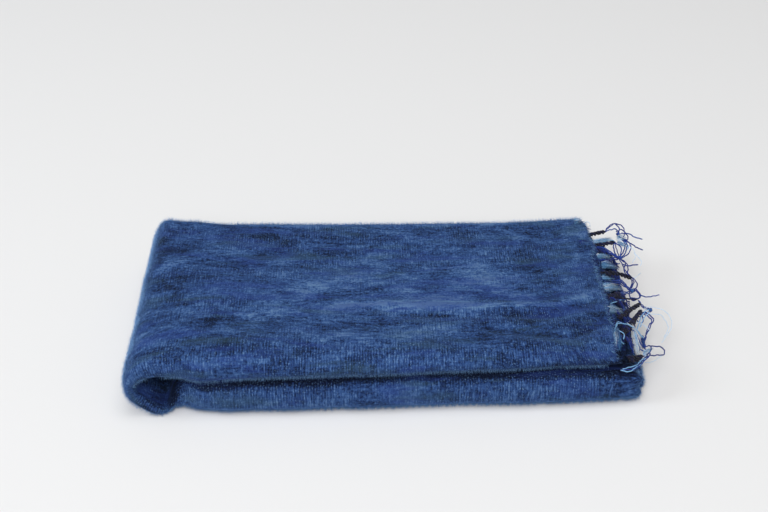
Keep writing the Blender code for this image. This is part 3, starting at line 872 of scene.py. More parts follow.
def wool_material(name, sheen):
    graph = Graph(name)
    place = graph.node("ShaderNodeUVMap", uv_map="cloth").outputs["UV"]
    split = graph.node("ShaderNodeSeparateXYZ")
    graph.fill(split.inputs[0], place)
    along, across = split.outputs[0], split.outputs[1]
    haze, royal_mark, bare_mark, tint = (graph.attribute(kind) for kind in (*MARK_KINDS, "tint"))
    # One where the cloth rolls at the front, fading to nothing 35 mm away
    roll = graph.span(graph.math("ABSOLUTE", graph.math("SUBTRACT", across, FRONT_FOLD)), 0.035, 0.015)

    mottle = graph.noise(place, (18.0, 36.0, 1.0), 5.0, 0.66, 0.4)
    streaks = graph.noise(place, (60.0, 250.0, 1.0), 3.0, 0.62, 0.9)
    grain = graph.noise(place, (360.0, 360.0, 1.0), 2.0, 0.6)
    weft = graph.noise(place, (520.0, 88.0, 2.0), 2.0, 0.6, 0.3)
    fine = graph.math("SINE", graph.plus(streaks, 8.0, graph.times(along, 2 * math.pi / WEFT_PITCH)))

    bare = graph.noise(place, (11.0, 26.0, 5.0), 3.0, 0.6)
    bare = graph.plus(roll, 0.13, graph.plus(bare_mark, 0.13, bare))
    bare = graph.span(bare, 0.40, 0.64, 0.12, 1.0)

    covered = graph.weigh(0.0, (streaks, 1.45), (grain, 1.6))
    tone = graph.add(graph.weigh(0.515, (mottle, 1.95)), graph.times(covered, graph.plus(bare, -0.58, 1.06)))
    tone = graph.add(tone, graph.times(graph.weigh(0.0, (mottle, -0.7)), roll))
    tone = graph.add(tone, graph.times(graph.span(weft, 0.39, 0.73, -0.145, 0.335), bare))
    tone = graph.plus(graph.times(fine, bare), 0.09, tone)
    # these values carry pale or dark haze and the painted shade and highlight
    tone = graph.add(tint, graph.plus(haze, 0.13, tone))
    colour = graph.ramp(tone, WOOL_STOPS)

    royal = graph.plus(royal_mark, 0.10, graph.noise(place, (12.0, 60.0, 9.0), 3.0, 0.6, 0.5))
    colour = graph.mix(graph.span(royal, 0.50, 0.68, 0.0, 0.52), colour, ROYAL)
    slate = graph.plus(royal_mark, -0.10, graph.noise(place, (12.0, 50.0, 3.0), 3.0, 0.6, 0.3))
    # slate fades where the painted shade is deep
    slate = graph.times(graph.span(slate, 0.52, 0.68, 0.0, 0.45), graph.span(haze, -3.0, -0.8))
    colour = graph.mix(slate, colour, SLATE)
    specks = graph.span(graph.noise(place, (620.0, 420.0, 7.0), 1.0, 0.5), 0.58, 0.70)
    specks = graph.times(specks, graph.plus(fine, 0.5, 0.5))
    colour = graph.mix(graph.times(specks, graph.times(bare, 0.75)), colour, SPECK)
    # pale hairs take the fuzz colour; at the rim and the foot it is a painted sheen
    colour = graph.mix(graph.span(tint, 0.30, 0.80), colour, FUZZ_AND_SHEEN)

    height = graph.plus(grain, 0.5, graph.times(streaks, 0.6))
    height = graph.plus(graph.times(weft, bare), 0.8, height)
    graph.fill_all(graph.shader, Base_Color=colour, Normal=graph.bump(height, 0.0010), Roughness=0.95)
    graph.fill_all(graph.shader, Specular_IOR_Level=0.15)
    graph.fill_all(graph.shader, Sheen_Weight=sheen, Sheen_Roughness=0.35, Sheen_Tint=SHEEN)
    return graph.look


def thread_material(name):
    """A look for many small threads, each with its own tint between 0 and 1."""
    graph = Graph(name)
    place = graph.node("ShaderNodeTexCoord").outputs["Object"]
    mottle = graph.noise(place, (900.0, 900.0, 900.0), 1.0)
    tone = graph.plus(graph.math("SUBTRACT", mottle, 0.5), 0.10, graph.attribute("tint"))
    graph.fill_all(graph.shader, Base_Color=graph.ramp(tone, FRINGE_STOPS), Roughness=0.85)
    graph.fill_all(graph.shader, Normal=graph.bump(mottle, 0.0002), Specular_IOR_Level=0.2, Sheen_Weight=0.1)
    return graph.look


# Nap
NAP_REACH = 0.060  # nothing may stand this close over a place where nap shows
NAP_ROOT = 0.0003  # how deep a hair starts in the cloth
NAP_FLOOR = 0.0003
LYING_RADIUS = 0.000090
LYING_LIFT = (0.04, 0.30)  # least and most rise of a hair, for each step along the sheet
LYING_SWAY = 0.22
LYING_TINT = 0.02
STANDING_RADIUS = 0.000100
STANDING_LIFT = (0.7, 2.2)
STANDING_SWAY = 0.60
STANDING_ALONG = 0.35  # how far a standing hair leans along the sheet
TINT_SPREAD = 0.12
SIGHT = np.array((0.0, 0.83, -0.56))  # the way the camera looks; where this runs along the cloth, its rim hairs are tinted pale as painted sheen

Places = namedtuple("Places", "middles normals along areas quads uv tree")
Hairs = namedtuple("Hairs", "count lying longest standing pale")  # how many, share lying, two lengths, tint


def face_directions(quads):
    """The two directions from side to side of each face."""
    a, b, c, d = (quads[:, corner] for corner in range(4))
    return b + a - c - d, b + c - a - d


def open_places(cloth):
    """Middle, normal, direction along the sheet and area of each face that is open to the air."""
    mesh = cloth.data
    corners = values_of(mesh.loops, "vertex_index", kind=np.int32).reshape(-1, 4)
    points = values_of(mesh.vertices, "co", 3)
    quads = points[corners]
    middles = quads.mean(axis=1)
    normals = np.cross(quads[:, 2] - quads[:, 0], quads[:, 3] - quads[:, 1])
    areas = np.linalg.norm(normals, axis=1) / 2
    normals = normalised(normals)
    uv = values_of(mesh.uv_layers["cloth"].data, "uv", 2).reshape(-1, 4, 2)
    (one_way, other_way), (one_way_uv, other_way_uv) = (face_directions(part) for part in (quads, uv))
    steeper = np.abs(one_way_uv[:, 0]) > np.abs(other_way_uv[:, 0])
    along = normalised(np.where(steeper[:, None], one_way, other_way))
    tree = BVHTree.FromPolygons(points.tolist(), corners.tolist())
    keep = np.zeros(len(corners), dtype=bool)
    usable = (areas > 1e-9) & ~((normals[:, 2] < -0.6) & (middles[:, 2] < 0.002))
    for face in np.flatnonzero(usable):
        start = Vector(middles[face] + normals[face] * 0.0002)
        keep[face] = tree.ray_cast(start, Vector(normals[face]), NAP_REACH)[0] is None
    return Places(middles[keep], normals[keep], along[keep], areas[keep], quads[keep], uv[keep], tree)


def tinted_object(name, points, faces, tints, look):
    """An object whose points each carry a tint."""
    made = mesh_object(name, points, faces, look)
    set_values(made.data, "tint", tints)
    return made


def add_nap(name, places, chosen, hairs, look, seed):
    """Short fine hairs on the chosen faces, each a thin closed spike."""
    normals, along, areas, quads, uv = (
        part[chosen] for part in (places.normals, places.along, places.areas, places.quads, places.uv)
    )
    count = hairs.count
    dice = np.random.default_rng(seed)
    faces = dice.choice(len(areas), size=count, p=areas / areas.sum())
    mix = dice.dirichlet((1.0, 1.0, 1.0, 1.0), count)[:, :, None]
    roots = (quads[faces] * mix).sum(axis=1)
    normal = normals[faces]
    lying = dice.random(count) < hairs.lying
    sign = np.where(dice.random(count) < 0.5, -1.0, 1.0)
    lift = np.where(lying, dice.uniform(*LYING_LIFT, count), dice.uniform(*STANDING_LIFT, count))
    sway = dice.normal(0.0, 1.0, (count, 3)) * np.where(lying, LYING_SWAY, STANDING_SWAY)[:, None]
    lean = (sign * np.where(lying, 1.0, STANDING_ALONG))[:, None]
    heading = normalised(along[faces] * lean + normal * lift[:, None] + sway)
    length = np.where(lying, hairs.longest, hairs.standing) * dice.uniform(0.35, 1.0, count)
    radius = np.where(lying, LYING_RADIUS, STANDING_RADIUS) * dice.uniform(0.7, 1.3, count)
    side = normalised(np.cross(heading, normal + 1e-3))
    other = np.cross(heading, side)
    base = roots - normal * NAP_ROOT
    points = [roots + heading * length[:, None]]
    for angle in (0.0, 2 * math.pi / 3, 4 * math.pi / 3):
        points.append(base + (side * math.cos(angle) + other * math.sin(angle)) * radius[:, None])
    points = np.stack(points, axis=1).reshape(-1, 3)
    points[:, 2] = np.maximum(points[:, 2], NAP_FLOOR)
    first = np.arange(count)[:, None] * 4
    spikes = (first + np.array([[0, 1, 2, 0, 2, 3, 0, 3, 1, 1, 3, 2]])).reshape(-1, 3)
    tints = (dice.normal(middle, TINT_SPREAD, count) for middle in (LYING_TINT, hairs.pale))
    tint = np.where(lying, *tints)
    made = tinted_object(name, points, spikes, np.repeat(tint, 4), look)
    set_cloth_places(made.data, np.repeat((uv[faces] * mix).sum(axis=1), 12, axis=0))
    add_marks(made)
    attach(made, "root")
    return made


TUBE_TIP = 0.45  # how thick a tube's last ring is, as a share of the others
TUBE_FLOOR = 0.0004


class Tubes:
    """Collects many thin tubes as the points, faces and tints of one mesh."""

    def __init__(self):
        self.points, self.faces, self.tints, self.count = [], [], [], 0

    def add(self, path, radius, tint, sides=4):
        path = np.asarray(path)
        heading = normalised(np.gradient(path, axis=0))
        side = np.cross(heading[0], (0.0, 0.3, 1.0))
        rings = []
        radii = np.full(len(path), radius)
        radii[-1] *= TUBE_TIP
        turns = (np.arange(sides) * (2 * math.pi / sides))[:, None]
        for place, ahead, size in zip(path, heading, radii):
            side = side - ahead * side.dot(ahead)
            side = side / max(np.linalg.norm(side), 1e-9)
            rings.append(place + size * (np.cos(turns) * side + np.sin(turns) * np.cross(ahead, side)))
        index = self.count + np.arange(len(path) * sides).reshape(len(path), sides)
        after = np.roll(index, -1, axis=1)
        for corners in ((index[:-1], after[:-1], after[1:]), (index[:-1], after[1:], index[1:])):
            self.faces.append(np.stack(corners, axis=2).reshape(-1, 3))
        fan = np.arange(1, sides - 1)
        for cap in (index[0][::-1], index[-1]):
            self.faces.append(np.stack((np.full(sides - 2, cap[0]), cap[fan], cap[fan + 1]), axis=1))
        self.points.append(np.concatenate(rings))
        self.tints.append(np.full(len(path) * sides, tint))
        self.count += len(path) * sides

    def finish(self, name, look):
        points = np.concatenate(self.points)
        points[:, 2] = np.maximum(points[:, 2], TUBE_FLOOR)
        return tinted_object(name, points, np.concatenate(self.faces), np.concatenate(self.tints), look)


WISPS = 150
WISP_RADIUS = 0.00013
WISP_STEP = 0.0018
WISP_LIFT = 0.00045


def add_wisps(places, look):
    """Long pale fibres that lie in curves on the top face."""
    dice = np.random.default_rng(77)
    tubes = Tubes()
    for _ in range(WISPS):
        place = np.array((dice.uniform(-0.25, 0.19), dice.uniform(-0.115, 0.12), 0.07))
        turn = dice.normal(0.0, 0.35) + (math.pi if dice.random() < 0.5 else 0.0)
        bend = dice.normal(0.0, 55.0)
        path = []
        for _ in range(int(dice.uniform(5, 14))):
            spot = places.tree.find_nearest(Vector(place))[0]
            path.append(np.array(spot + Vector((0.0, 0.0, WISP_LIFT))))
            turn += bend * WISP_STEP
            place = np.array(spot) + np.array((math.cos(turn), math.sin(turn), 0.0)) * WISP_STEP
        tubes.add(path, WISP_RADIUS * dice.uniform(0.7, 1.2), dice.uniform(0.18, 0.42), 3)
    made = tubes.finish("nap_wisps", look)
    set_cloth_places(made.data, np.zeros((len(made.data.loops), 2)))
    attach(made, "root")
    return made


def smooth_path(points, step=0.0010):
    """A smooth route in metres through points in millimetres."""
    rows = np.array(points, dtype=float) / 1000.0
    at = distances(rows)
    count = max(int(at[-1] / step), 4)
    return hermite_rows(rows, at, np.linspace(0.0, at[-1], count + 1))


def waved(path, size, seed, longest=0.018):
    """The path with small waves that start from nothing at its root."""
    length = distances(path)
    ease = np.minimum(length / 0.006, 1.0)
    offsets = [ripple(length, longest, seed * 3 + axis, 4) * ease * size for axis in range(3)]
    return path + np.stack(offsets, axis=1)


# Fringe
TWIST_RADIUS = 0.00125
STRAND_RADIUS = 0.00105
TWIST_PITCH = 0.0100
THREAD_RADIUS = 0.00066
PALE_RADIUS = 0.00055
GREY_RADIUS = 0.00042

# Dark twisted roots that the photo shows, for each row of the fringe, as points in millimetres
TWISTS = {
    1: (
        ((196, 99, 57), (205, 103, 56), (223, 112, 54)),
        ((205, 83, 55), (221, 91, 52), (231, 96, 51)),
        ((205, 33, 54), (224, 40, 49), (242, 44, 40)),
        ((201, -12, 54), (213, -2, 50), (224, 9, 46)),
        ((202, -10, 52), (214, -3, 48), (224, 7, 44)),
    ),
    2: (
        ((216, -36, 48), (224, -24, 44), (234, -10, 40), (245, 4, 36)),
        ((215, -56, 45), (226, -39, 40), (235, -23, 37), (245, -4, 33)),
        ((217, -57, 43), (227, -41, 39), (235, -25, 36)),
    ),
    3: (
        ((218, -89, 39), (226, -86, 37), (234, -80, 34)),
        ((219, -90, 37), (226, -87, 35), (232, -82, 33)),
    ),
    4: (),
}

# A thin dark thread, in millimetres
DARK_THREAD = ((205, 0, 54), (216, -3, 50), (230, 2, 44), (243, 8, 39))

# Royal blue threads between their knots, in millimetres
THREADS = {
    1: (
        ((222, 111, 54), (229, 120, 55), (237, 127, 54), (240, 124, 51), (238, 117, 47)),
        ((222, 111, 54), (230, 117, 53), (236, 120, 52), (240, 120, 47), (239, 114, 46)),
        ((222, 111, 54), (230, 122, 56), (238, 128, 54), (243, 126, 52), (246, 120, 48), (243, 114, 45)),
        ((238, 117, 47), (245, 122, 45), (251, 123, 44), (259, 117, 42), (265, 116, 42)),
        ((238, 114, 47), (248, 105, 44), (257, 103, 40), (263, 99, 38)),
        ((238, 114, 47), (244, 102, 44), (241, 92, 42), (234, 81, 41)),
        ((239, 114, 47), (246, 103, 43), (243, 91, 41), (235, 80, 40)),
        ((237, 114, 47), (250, 104, 43), (247, 92, 40), (236, 79, 41)),
        ((231, 96, 51), (229, 88, 47), (233, 80, 41)),
        ((231, 96, 51), (233, 89, 46), (235, 81, 40)),
        ((231, 96, 51), (237, 92, 47), (236, 80, 41)),
        ((207, 84, 54), (213, 84, 53), (222, 83, 48), (234, 80, 41)),
        ((207, 82, 54), (213, 82, 52), (222, 82, 47), (234, 79, 40)),
        ((207, 85, 53), (214, 86, 52), (223, 84, 48), (235, 81, 41)),
        ((206, 63, 54), (214, 62, 52), (221, 68, 47), (228, 78, 43), (234, 81, 41)),
        ((206, 61, 54), (215, 61, 51), (222, 67, 46), (229, 77, 42), (235, 80, 40)),
        ((234, 81, 41), (240, 74, 40), (238, 64, 38), (240, 57, 37), (245, 50, 35), (244, 42, 33))
        + ((240, 35, 32),),
        ((234, 79, 41), (237, 70, 39), (238, 57, 37), (243, 49, 35), (242, 40, 33), (239, 34, 32)),
        ((235, 80, 40), (242, 71, 39), (241, 58, 36), (247, 50, 34), (248, 40, 32), (242, 32, 31)),
        ((236, 70, 40), (244, 67, 40), (252, 66, 42)),
        ((206, 28, 53), (218, 30, 46), (230, 37, 42), (240, 33, 33)),
        ((236, 118, 50), (243, 124, 48), (249, 119, 45), (247, 110, 44), (240, 113, 46)),
        ((206, 26, 53), (218, 28, 45), (231, 34, 41), (239, 31, 33)),
        ((225, 12, 44), (231, 19, 40), (238, 29, 34)),
        ((225, 12, 44), (233, 18, 39), (241, 27, 33)),
        ((208, 22, 53), (216, 27, 48), (226, 34, 44), (236, 33, 36)),
        ((209, 19, 52), (217, 25, 47), (227, 31, 43), (238, 31, 34)),
    ),
    2: (
        ((238, 32, 34), (246, 33, 33), (249, 25, 32), (243, 18, 31), (237, 24, 32), (241, 33, 33)),
        ((239, 31, 34), (247, 30, 32), (248, 22, 31), (240, 17, 31), (238, 26, 32), (244, 32, 32)),
        ((220, 1, 44), (228, 4, 41), (234, 11, 38), (246, 18, 32)),
        ((232, 12, 36), (233, 5, 33), (239, 3, 31), (245, 9, 31), (246, 17, 31)),
        ((247, 24, 33), (255, 23, 31), (262, 24, 31), (269, 24, 33)),
        ((246, 17, 31), (250, 8, 30), (257, 2, 29), (251, -2, 29), (241, -11, 30)),
        ((245, 7, 34), (250, 3, 31), (257, 3, 29)),
        ((243, -6, 32), (249, -3, 30), (257, 1, 29)),
        ((243, -3, 31), (252, -4, 29), (257, -9, 27), (253, -19, 25), (244, -38, 24), (240, -52, 24)),
        ((244, -5, 31), (250, -6, 29), (255, -12, 27), (250, -21, 25), (245, -37, 24), (241, -51, 24)),
        ((241, -8, 31), (239, -14, 29), (243, -19, 28), (246, -11, 29), (242, -4, 31)),
    ),
    3: (
        ((240, -53, 24), (246, -50, 23), (253, -47, 21), (259, -48, 20), (262, -52, 19))
        + ((261, -56, 18), (256, -58, 18), (249, -61, 20), (243, -68, 25), (237, -77, 30)),
        ((234, -79, 33), (238, -72, 29), (241, -62, 26), (241, -52, 24)),
        ((229, -47, 41), (234, -47, 34), (237, -50, 28), (240, -53, 24)),
        ((246, -60, 30), (242, -74, 31), (234, -86, 32), (227, -96, 33), (219, -104, 35)),
        ((208, -107, 38), (219, -103, 37), (228, -94, 35), (237, -79, 32), (246, -63, 30)),
    ),
    4: (),
}

# Pale fluffy threads, in millimetres
PALE_THREADS = {
    1: (
        ((203, 88, 55), (213, 92, 55), (223, 96, 54), (232, 97, 51)),
        ((205, 86, 54), (214, 92, 54), (224, 95, 52)),
        ((237, 112, 46), (243, 108, 44), (247, 101, 43), (246, 95, 42)),
    ),
    2: (
        ((221, -47, 48), (213, -51, 54), (208, -63, 58), (205, -76, 60), (205, -85, 60), (213, -87, 55)),
        ((241, -46, 30), (237, -44, 34), (231, -42, 40), (221, -48, 49), (213, -54, 55), (208, -64, 58)),
        ((210, -70, 58), (214, -74, 57), (213, -81, 56)),
        ((204, -24, 54), (212, -15, 51), (224, -3, 46)),
        ((237, -31, 30), (242, -17, 31), (249, -3, 31), (257, 4, 29)),
        ((241, -25, 28), (246, -13, 29), (254, -2, 30)),
    ),
    3: (
        ((208, -107, 38.5), (214, -107, 37), (223, -101, 36), (232, -88, 33), (246, -62, 30)),
        ((210, -106, 39), (218, -102, 38), (226, -95, 36), (234, -83, 34)),
    ),
    4: (),
}

# Thin grey threads, in millimetres
GREY_THREADS = {
    1: (
        ((201, 121, 58), (204, 123, 60), (207, 120, 60), (207, 117, 57)),
        ((247, 96, 46), (251, 91, 44), (252, 82, 41), (247, 72, 40)),
        ((251, 87, 43), (256, 82, 40), (258, 77, 38), (256, 72, 36)),
        ((256, 65, 32), (251, 58, 33), (246, 51, 34)),
    ),
    2: (
        ((249, 2, 31), (255, 4, 32), (262, 2, 32), (271, -2, 30), (275, -9, 27), (275, -16, 24))
        + ((262, -36, 16),),
        ((249, 0, 30), (256, -4, 29), (265, -3, 27), (270, -11, 25), (271, -19, 21), (265, -30, 18)),
        ((240, -43, 28), (232, -40, 38), (222, -47, 50)),
        ((237, -24, 34), (246, -26, 30), (250, -30, 28), (247, -34, 26)),
    ),
    3: (((260, -53, 14), (251, -62, 14), (239, -70, 18)),),
    4: (),
}

# How each kind of thread is drawn. A spread of tints is drawn by lot.
Strand = namedtuple("Strand", "routes wave seed radius tint spread")
STRANDS = (
    Strand(THREADS, 0.0006, 0, THREAD_RADIUS, 0.50, 0.10),
    Strand(PALE_THREADS, 0.0005, 900, PALE_RADIUS, 0.86, 0.05),
    Strand(GREY_THREADS, 0.0004, 700, GREY_RADIUS, 0.96, None),
)

# Tangles of thread, in millimetres, and their tints
KNOTS = {1: ((238, 117, 47), (235, 80, 41)), 2: ((241, 30, 33), (256, 2, 29)), 3: ((241, -52, 24),), 4: ()}
KNOT_TINTS = {1: 0.50, 2: 0.62, 3: 0.52, 4: 0.52}
KNOT_SIZE = 0.00085

# Tassels of the lower layers
HIDDEN_FROM = -0.082
HIDDEN_TO = 0.078
HIDDEN_TINTS = (0.23, 0.42, 0.5)

# Tufts of fuzz that stand out from the cut ends: root, tip, half width, tint and how many hairs
Tuft = namedtuple("Tuft", "root tip half tint hairs")
TUFTS = {
    1: (
        ((211, 46, 55), (228, 53, 47), 4.2, 0.77, 380),
        ((207, 62, 56), (224, 69, 50), 2.0, 0.84, 120),
        ((207, 23, 55), (221, 30, 48), 2.4, 0.78, 140),
        ((205, 7, 55), (227, 18, 46), 4.4, 0.86, 400),
        ((199, -31, 56), (224, -22, 45), 6.5, 0.83, 660),
        ((191, 81, 61), (206, 83, 57), 4.0, 0.60, 200),
        ((190, 120, 62), (199, 122, 61), 5.0, 0.84, 110),
        ((205, 89, 54), (230, 103, 50), 2.0, 0.90, 260),
        ((236, 108, 48), (249, 115, 46), 4.0, 0.86, 60),
        ((236, 102, 46), (248, 98, 43), 4.0, 0.84, 60),
    ),
    2: (
        ((208, -74, 60), (206, -101, 57), 5.5, 0.66, 360),
        ((205, -78, 61), (205, -100, 58), 1.2, 0.84, 40),
        ((230, -40, 38), (231, -75, 29), 6.5, 1.00, 800),
        ((241, -43, 27), (239, -56, 24), 3.0, 0.55, 160),
    ),
    3: (((236, -74, 31), (246, -62, 29), 2.5, 0.97, 120),),
    4: (),
}
LOCK = 12  # hairs in one lock of a tuft
LOCK_HEIGHTS = 0.0009  # how far locks scatter in height at their roots
LOCK_SCATTER = 0.0012  # and at their tips
LOCK_TINTS = 0.09
HAIR_SCATTER = 0.0006
HAIR_TIP_SCATTER = 0.0005
HAIR_TINTS = 0.04
HAIR_ARCH = (0.0, 0.0, 0.0008)
TUFT_RADIUS = 0.00011
EDGE_HAIRS = 1900
EDGE_REACH = 0.0048


def add_twist(tubes, path, tint, seed):
    """A root of two strands laid round each other."""
    length = distances(path)
    fine_at = np.arange(0.0, length[-1], 0.00045)
    fine = np.stack([np.interp(fine_at, length, path[:, axis]) for axis in range(3)], axis=1)
    heading = normalised(np.gradient(fine, axis=0))
    side = normalised(np.cross(heading, (0.0, 0.0, 1.0)))
    other = np.cross(heading, side)
    taper = np.clip((length[-1] - fine_at) / 0.003, 0.35, 1.0)[:, None]
    for strand in range(2):
        turn = fine_at / TWIST_PITCH * 2 * math.pi + strand * math.pi + seed
        turn = (turn + ripple(fine_at, 0.011, 40 + seed))[:, None]
        shift = (np.cos(turn) * side + np.sin(turn) * other) * TWIST_RADIUS * taper
        # the second strand is tinted lighter, a painted highlight along the twist
        tubes.add(fine + shift, STRAND_RADIUS * (1.0 + 0.25 * strand), tint + 0.13 * strand, 6)


def add_knot(tubes, middle, tint):
    """A small tangle of thread, pale or royal."""
    angle = np.linspace(0.0, 4 * math.pi, 30)
    x = np.sin(angle) + 0.9 * np.sin(2 * angle)
    y = np.cos(angle) - 0.9 * np.cos(2 * angle)
    z = -np.sin(3 * angle)
    path = np.stack((x, y, z * 1.1), axis=1) * KNOT_SIZE
    for turn in range(2):
        shift = np.array(middle) / 1000.0 + np.array((0.0004, 0.0007, 0.0002)) * turn
        tubes.add(np.roll(path, turn, axis=1) + shift, THREAD_RADIUS, tint + 0.05 * turn, 5)


def add_tuft(tubes, tuft, dice):
    """Fluff between two tassels, wide at the cloth and narrow at its tip."""
    root, tip = (np.array(point) / 1000.0 for point in (tuft.root, tuft.tip))
    for hair in range(tuft.hairs):
        if hair % LOCK == 0:
            lock_y = dice.uniform(-1.0, 1.0) * tuft.half / 1000.0
            lock = np.array((0.0, lock_y, dice.normal(0.0, LOCK_HEIGHTS)))
            lock_end = dice.normal(0.0, LOCK_SCATTER, 3)
            lock_tint = tuft.tint + dice.normal(0.0, LOCK_TINTS)
        aside = lock + dice.normal(0.0, HAIR_SCATTER, 3)
        reach = dice.uniform(0.35, 1.0) * (1.0 - 0.35 * (lock_y * 1000.0 / tuft.half) ** 2)
        end = root + aside + (tip - root - aside * 0.45) * reach + lock_end
        end = end + dice.normal(0.0, HAIR_TIP_SCATTER, 3)
        middle = (root + aside + end) / 2 + dice.normal(0.0, HAIR_SCATTER, 3) + HAIR_ARCH
        tubes.add((root + aside, middle, end), TUFT_RADIUS, lock_tint + dice.normal(0.0, HAIR_TINTS), 3)


def add_edge_fuzz(tubes, dice):
    """Short fibres that stand out from the top layer's cut end."""
    for _ in range(EDGE_HAIRS):
        y = dice.uniform(CUT_DEPTHS[0] + 0.014, CUT_DEPTHS[-1] - 0.010)
        x = UPPER[0].outer_x + np.interp(y, CUT_DEPTHS, CUT_PAST) - 0.001
        root = np.array((x, y, UPPER[0].outer_z - 0.0005 - 0.003 * dice.random()))
        out = np.array((1.0, dice.normal(0.0, 0.6), dice.normal(-0.2, 0.4)))
        out = out * EDGE_REACH * dice.uniform(0.4, 1.6)
        middle = root + out * 0.5 + dice.normal(0.0, 0.0004, 3)
        tubes.add((root, middle, root + out), TUFT_RADIUS, dice.choice((0.48, 0.62, 0.84)), 3)


def add_hidden_tassels(tubes, row, dice):
    """Tassels of the lower layers, which hang close to the cut ends."""
    level = 1.0 - (row - 0.5) / 4
    section = UPPER[0]
    x = section.inner_x + (section.outer_x - section.inner_x) * level
    z = section.inner_z + (section.outer_z - section.inner_z) * level
    for number, y in enumerate(np.arange(HIDDEN_FROM, HIDDEN_TO, TASSEL_PITCH)):
        y += 0.006 * row + dice.uniform(-0.003, 0.003)
        lean = dice.uniform(-0.5, 0.5)
        reach = dice.uniform(0.006, 0.010)
        drop = dice.uniform(0.003, 0.007)
        root = np.array((x - 0.004, y, z)) * 1000
        knee = root + np.array((9 + reach * 300, lean * 3, -1.5 - drop * 300))
        end = knee + np.array((reach * 600, lean * 5, -drop * 900))
        add_twist(tubes, smooth_path((root, knee, end), 0.002), HIDDEN_TINTS[0], number)
        for thread in range(3):
            away = dice.uniform(-5, 5)
            middle = end + np.array((dice.uniform(1, 5), away * 0.6, -dice.uniform(3, 8)))
            tip = middle + np.array((dice.uniform(-4, 6), away, -dice.uniform(4, 10)))
            tip[2] = max(tip[2], 2.0)
            middle[2] = max(middle[2], 3.0)
            path = waved(smooth_path((end, middle, tip)), 0.0012, int(dice.integers(1000)))
            tubes.add(path, THREAD_RADIUS, HIDDEN_TINTS[1 + thread % 2] + dice.uniform(-0.05, 0.05))


def add_fringe(row, look):
    tubes = Tubes()
    dice = np.random.default_rng(row)
    for number, points in enumerate(TWISTS[row]):
        add_twist(tubes, smooth_path(points, 0.002), 0.03 + 0.04 * (number % 2), number)
    if row == 1:
        tubes.add(waved(smooth_path(DARK_THREAD), 0.0005, 5), THREAD_RADIUS * 1.3, 0.08)
    for strand in STRANDS:
        for number, points in enumerate(strand.routes[row]):
            path = waved(smooth_path(points), strand.wave, strand.seed + 100 * row + number)
            change = dice.uniform(-strand.spread, strand.spread) if strand.spread else 0.0
            tubes.add(path, strand.radius, strand.tint + change)
    for middle in KNOTS[row]:
        add_knot(tubes, middle, KNOT_TINTS[row])
    if row > 1:
        add_hidden_tassels(tubes, row, dice)
    else:
        add_edge_fuzz(tubes, dice)
    for tuft in TUFTS[row]:
        add_tuft(tubes, Tuft(*tuft), dice)
    made = tubes.finish(f"fringe_tassels_{row}", look)
    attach(made, "root")
    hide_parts(f"fringe_row_{row}")
    return made


wool = wool_material("streaky_blue_wool", 0.55)
cloth = add_cloth(wool)
add_marks(cloth)
# a copy of the wool look with almost no sheen, standing in for shade on the shaded faces
dull_in_shade(cloth, wool_material("blue_wool_in_shade", 0.05))
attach(cloth, "root")
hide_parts("cloth_upper_half", "cloth_lower_half", "cloth_end_fold")

places = open_places(cloth)
lit = ~shaded(places.middles)
facing_up = places.normals[:, 2] > 0.75
on_sides = ~facing_up & lit
in_front = places.middles[:, 1] < 0.0
facing_out = (places.normals[:, 1] < -0.35) & (places.normals[:, 2] > -0.30)
at_foot = facing_out & (places.middles[:, 2] < 0.009)
rolled = (np.abs(places.normals[:, 2]) < 0.9) & ~facing_out
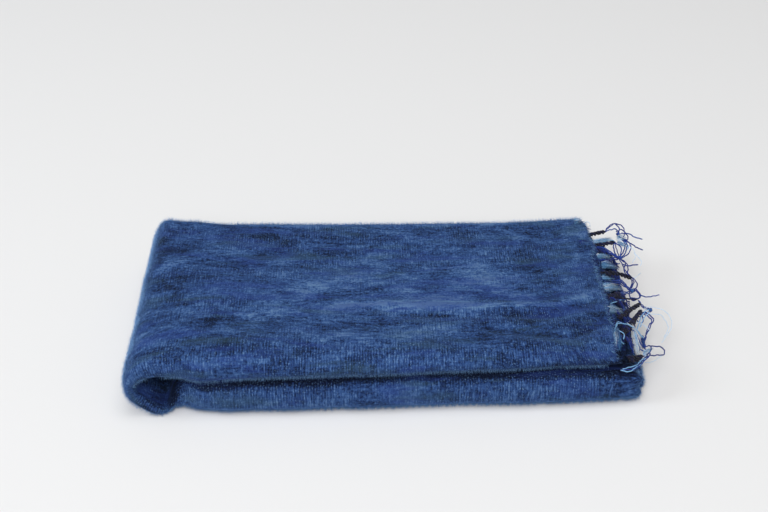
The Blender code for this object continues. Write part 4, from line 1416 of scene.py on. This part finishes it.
# hairs where the camera's sight grazes the cloth, and at the foot, are tinted pale as painted sheen
at_rim = (rolled & (np.abs(places.normals @ SIGHT) < 0.30)) | at_foot
nap = [
    add_nap("nap_top", places, facing_up, Hairs(38000, 0.88, 0.0085, 0.0030, 0.20), wool, 51),
    add_nap("nap_front", places, on_sides & in_front, Hairs(30000, 0.70, 0.0055, 0.0034, 0.25), wool, 52),
    add_nap("nap_back", places, on_sides & ~in_front, Hairs(16000, 0.50, 0.0060, 0.0038, 0.35), wool, 53),
    add_nap("nap_rim", places, at_rim & lit, Hairs(38000, 0.0, 0.0060, 0.0052, 0.74), wool, 54),
    add_nap("nap_rolls", places, rolled & lit, Hairs(20000, 0.3, 0.0060, 0.0046, 0.22), wool, 55),
    add_wisps(places, wool),
]
threads = thread_material("twisted_threads")
fringe = [add_fringe(row, threads) for row in (1, 2, 3, 4)]


FLOOR = 12.0  # from the floor's middle to each of its sides


def add_floor():
    graph = Graph("pale_floor")
    graph.fill_all(graph.shader, Base_Color=(0.80, 0.803, 0.813, 1.0), Roughness=0.9)
    corners = ((-FLOOR, -FLOOR, 0.0), (FLOOR, -FLOOR, 0.0), (FLOOR, FLOOR, 0.0), (-FLOOR, FLOOR, 0.0))
    made = mesh_object("floor", corners, ((0, 1, 2, 3),), graph.look)


def add_light(name, place, target, size, power, colour):
    data = bpy.data.lights.new(name, "AREA")
    data.shape = "DISK"
    data.size = size
    data.energy = power
    data.color = colour
    made = linked(name, data)
    made.location = place
    direction = Vector(target) - Vector(place)
    made.rotation_mode = "QUATERNION"
    made.rotation_quaternion = direction.to_track_quat("-Z", "Y")


def add_camera():
    data = bpy.data.cameras.new("camera")
    data.sensor_width = 36.0
    data.lens = 65.3
    made = linked("camera", data)
    made.location = (-0.029, -1.1467, 0.873)
    made.rotation_euler = (math.pi / 2 - math.radians(34.0), 0.0, math.radians(-0.6))
    bpy.context.scene.camera = made


def add_world():
    world = bpy.data.worlds.new("studio")
    world.use_nodes = True
    sky = world.node_tree.nodes["Background"]
    sky.inputs["Color"].default_value = (1.0, 0.98, 0.95, 1.0)
    sky.inputs["Strength"].default_value = 0.24
    bpy.context.scene.world = world


add_floor()
add_world()
add_light("front", (-0.6, -5.2, 4.9), (0.0, 0.1, 0.0), 3.9, 336.0, (1.0, 0.99, 0.975))
add_light("left", (-3.4, -0.4, 2.5), (0.1, 0.1, 0.0), 1.7, 45.0, (0.90, 0.96, 1.0))
add_light("above", (0.1, -0.3, 3.8), (0.0, 1.3, 0.0), 3.0, 50.0, (1.0, 1.0, 1.0))
add_camera()
bpy.context.scene.view_settings.view_transform = "Standard"
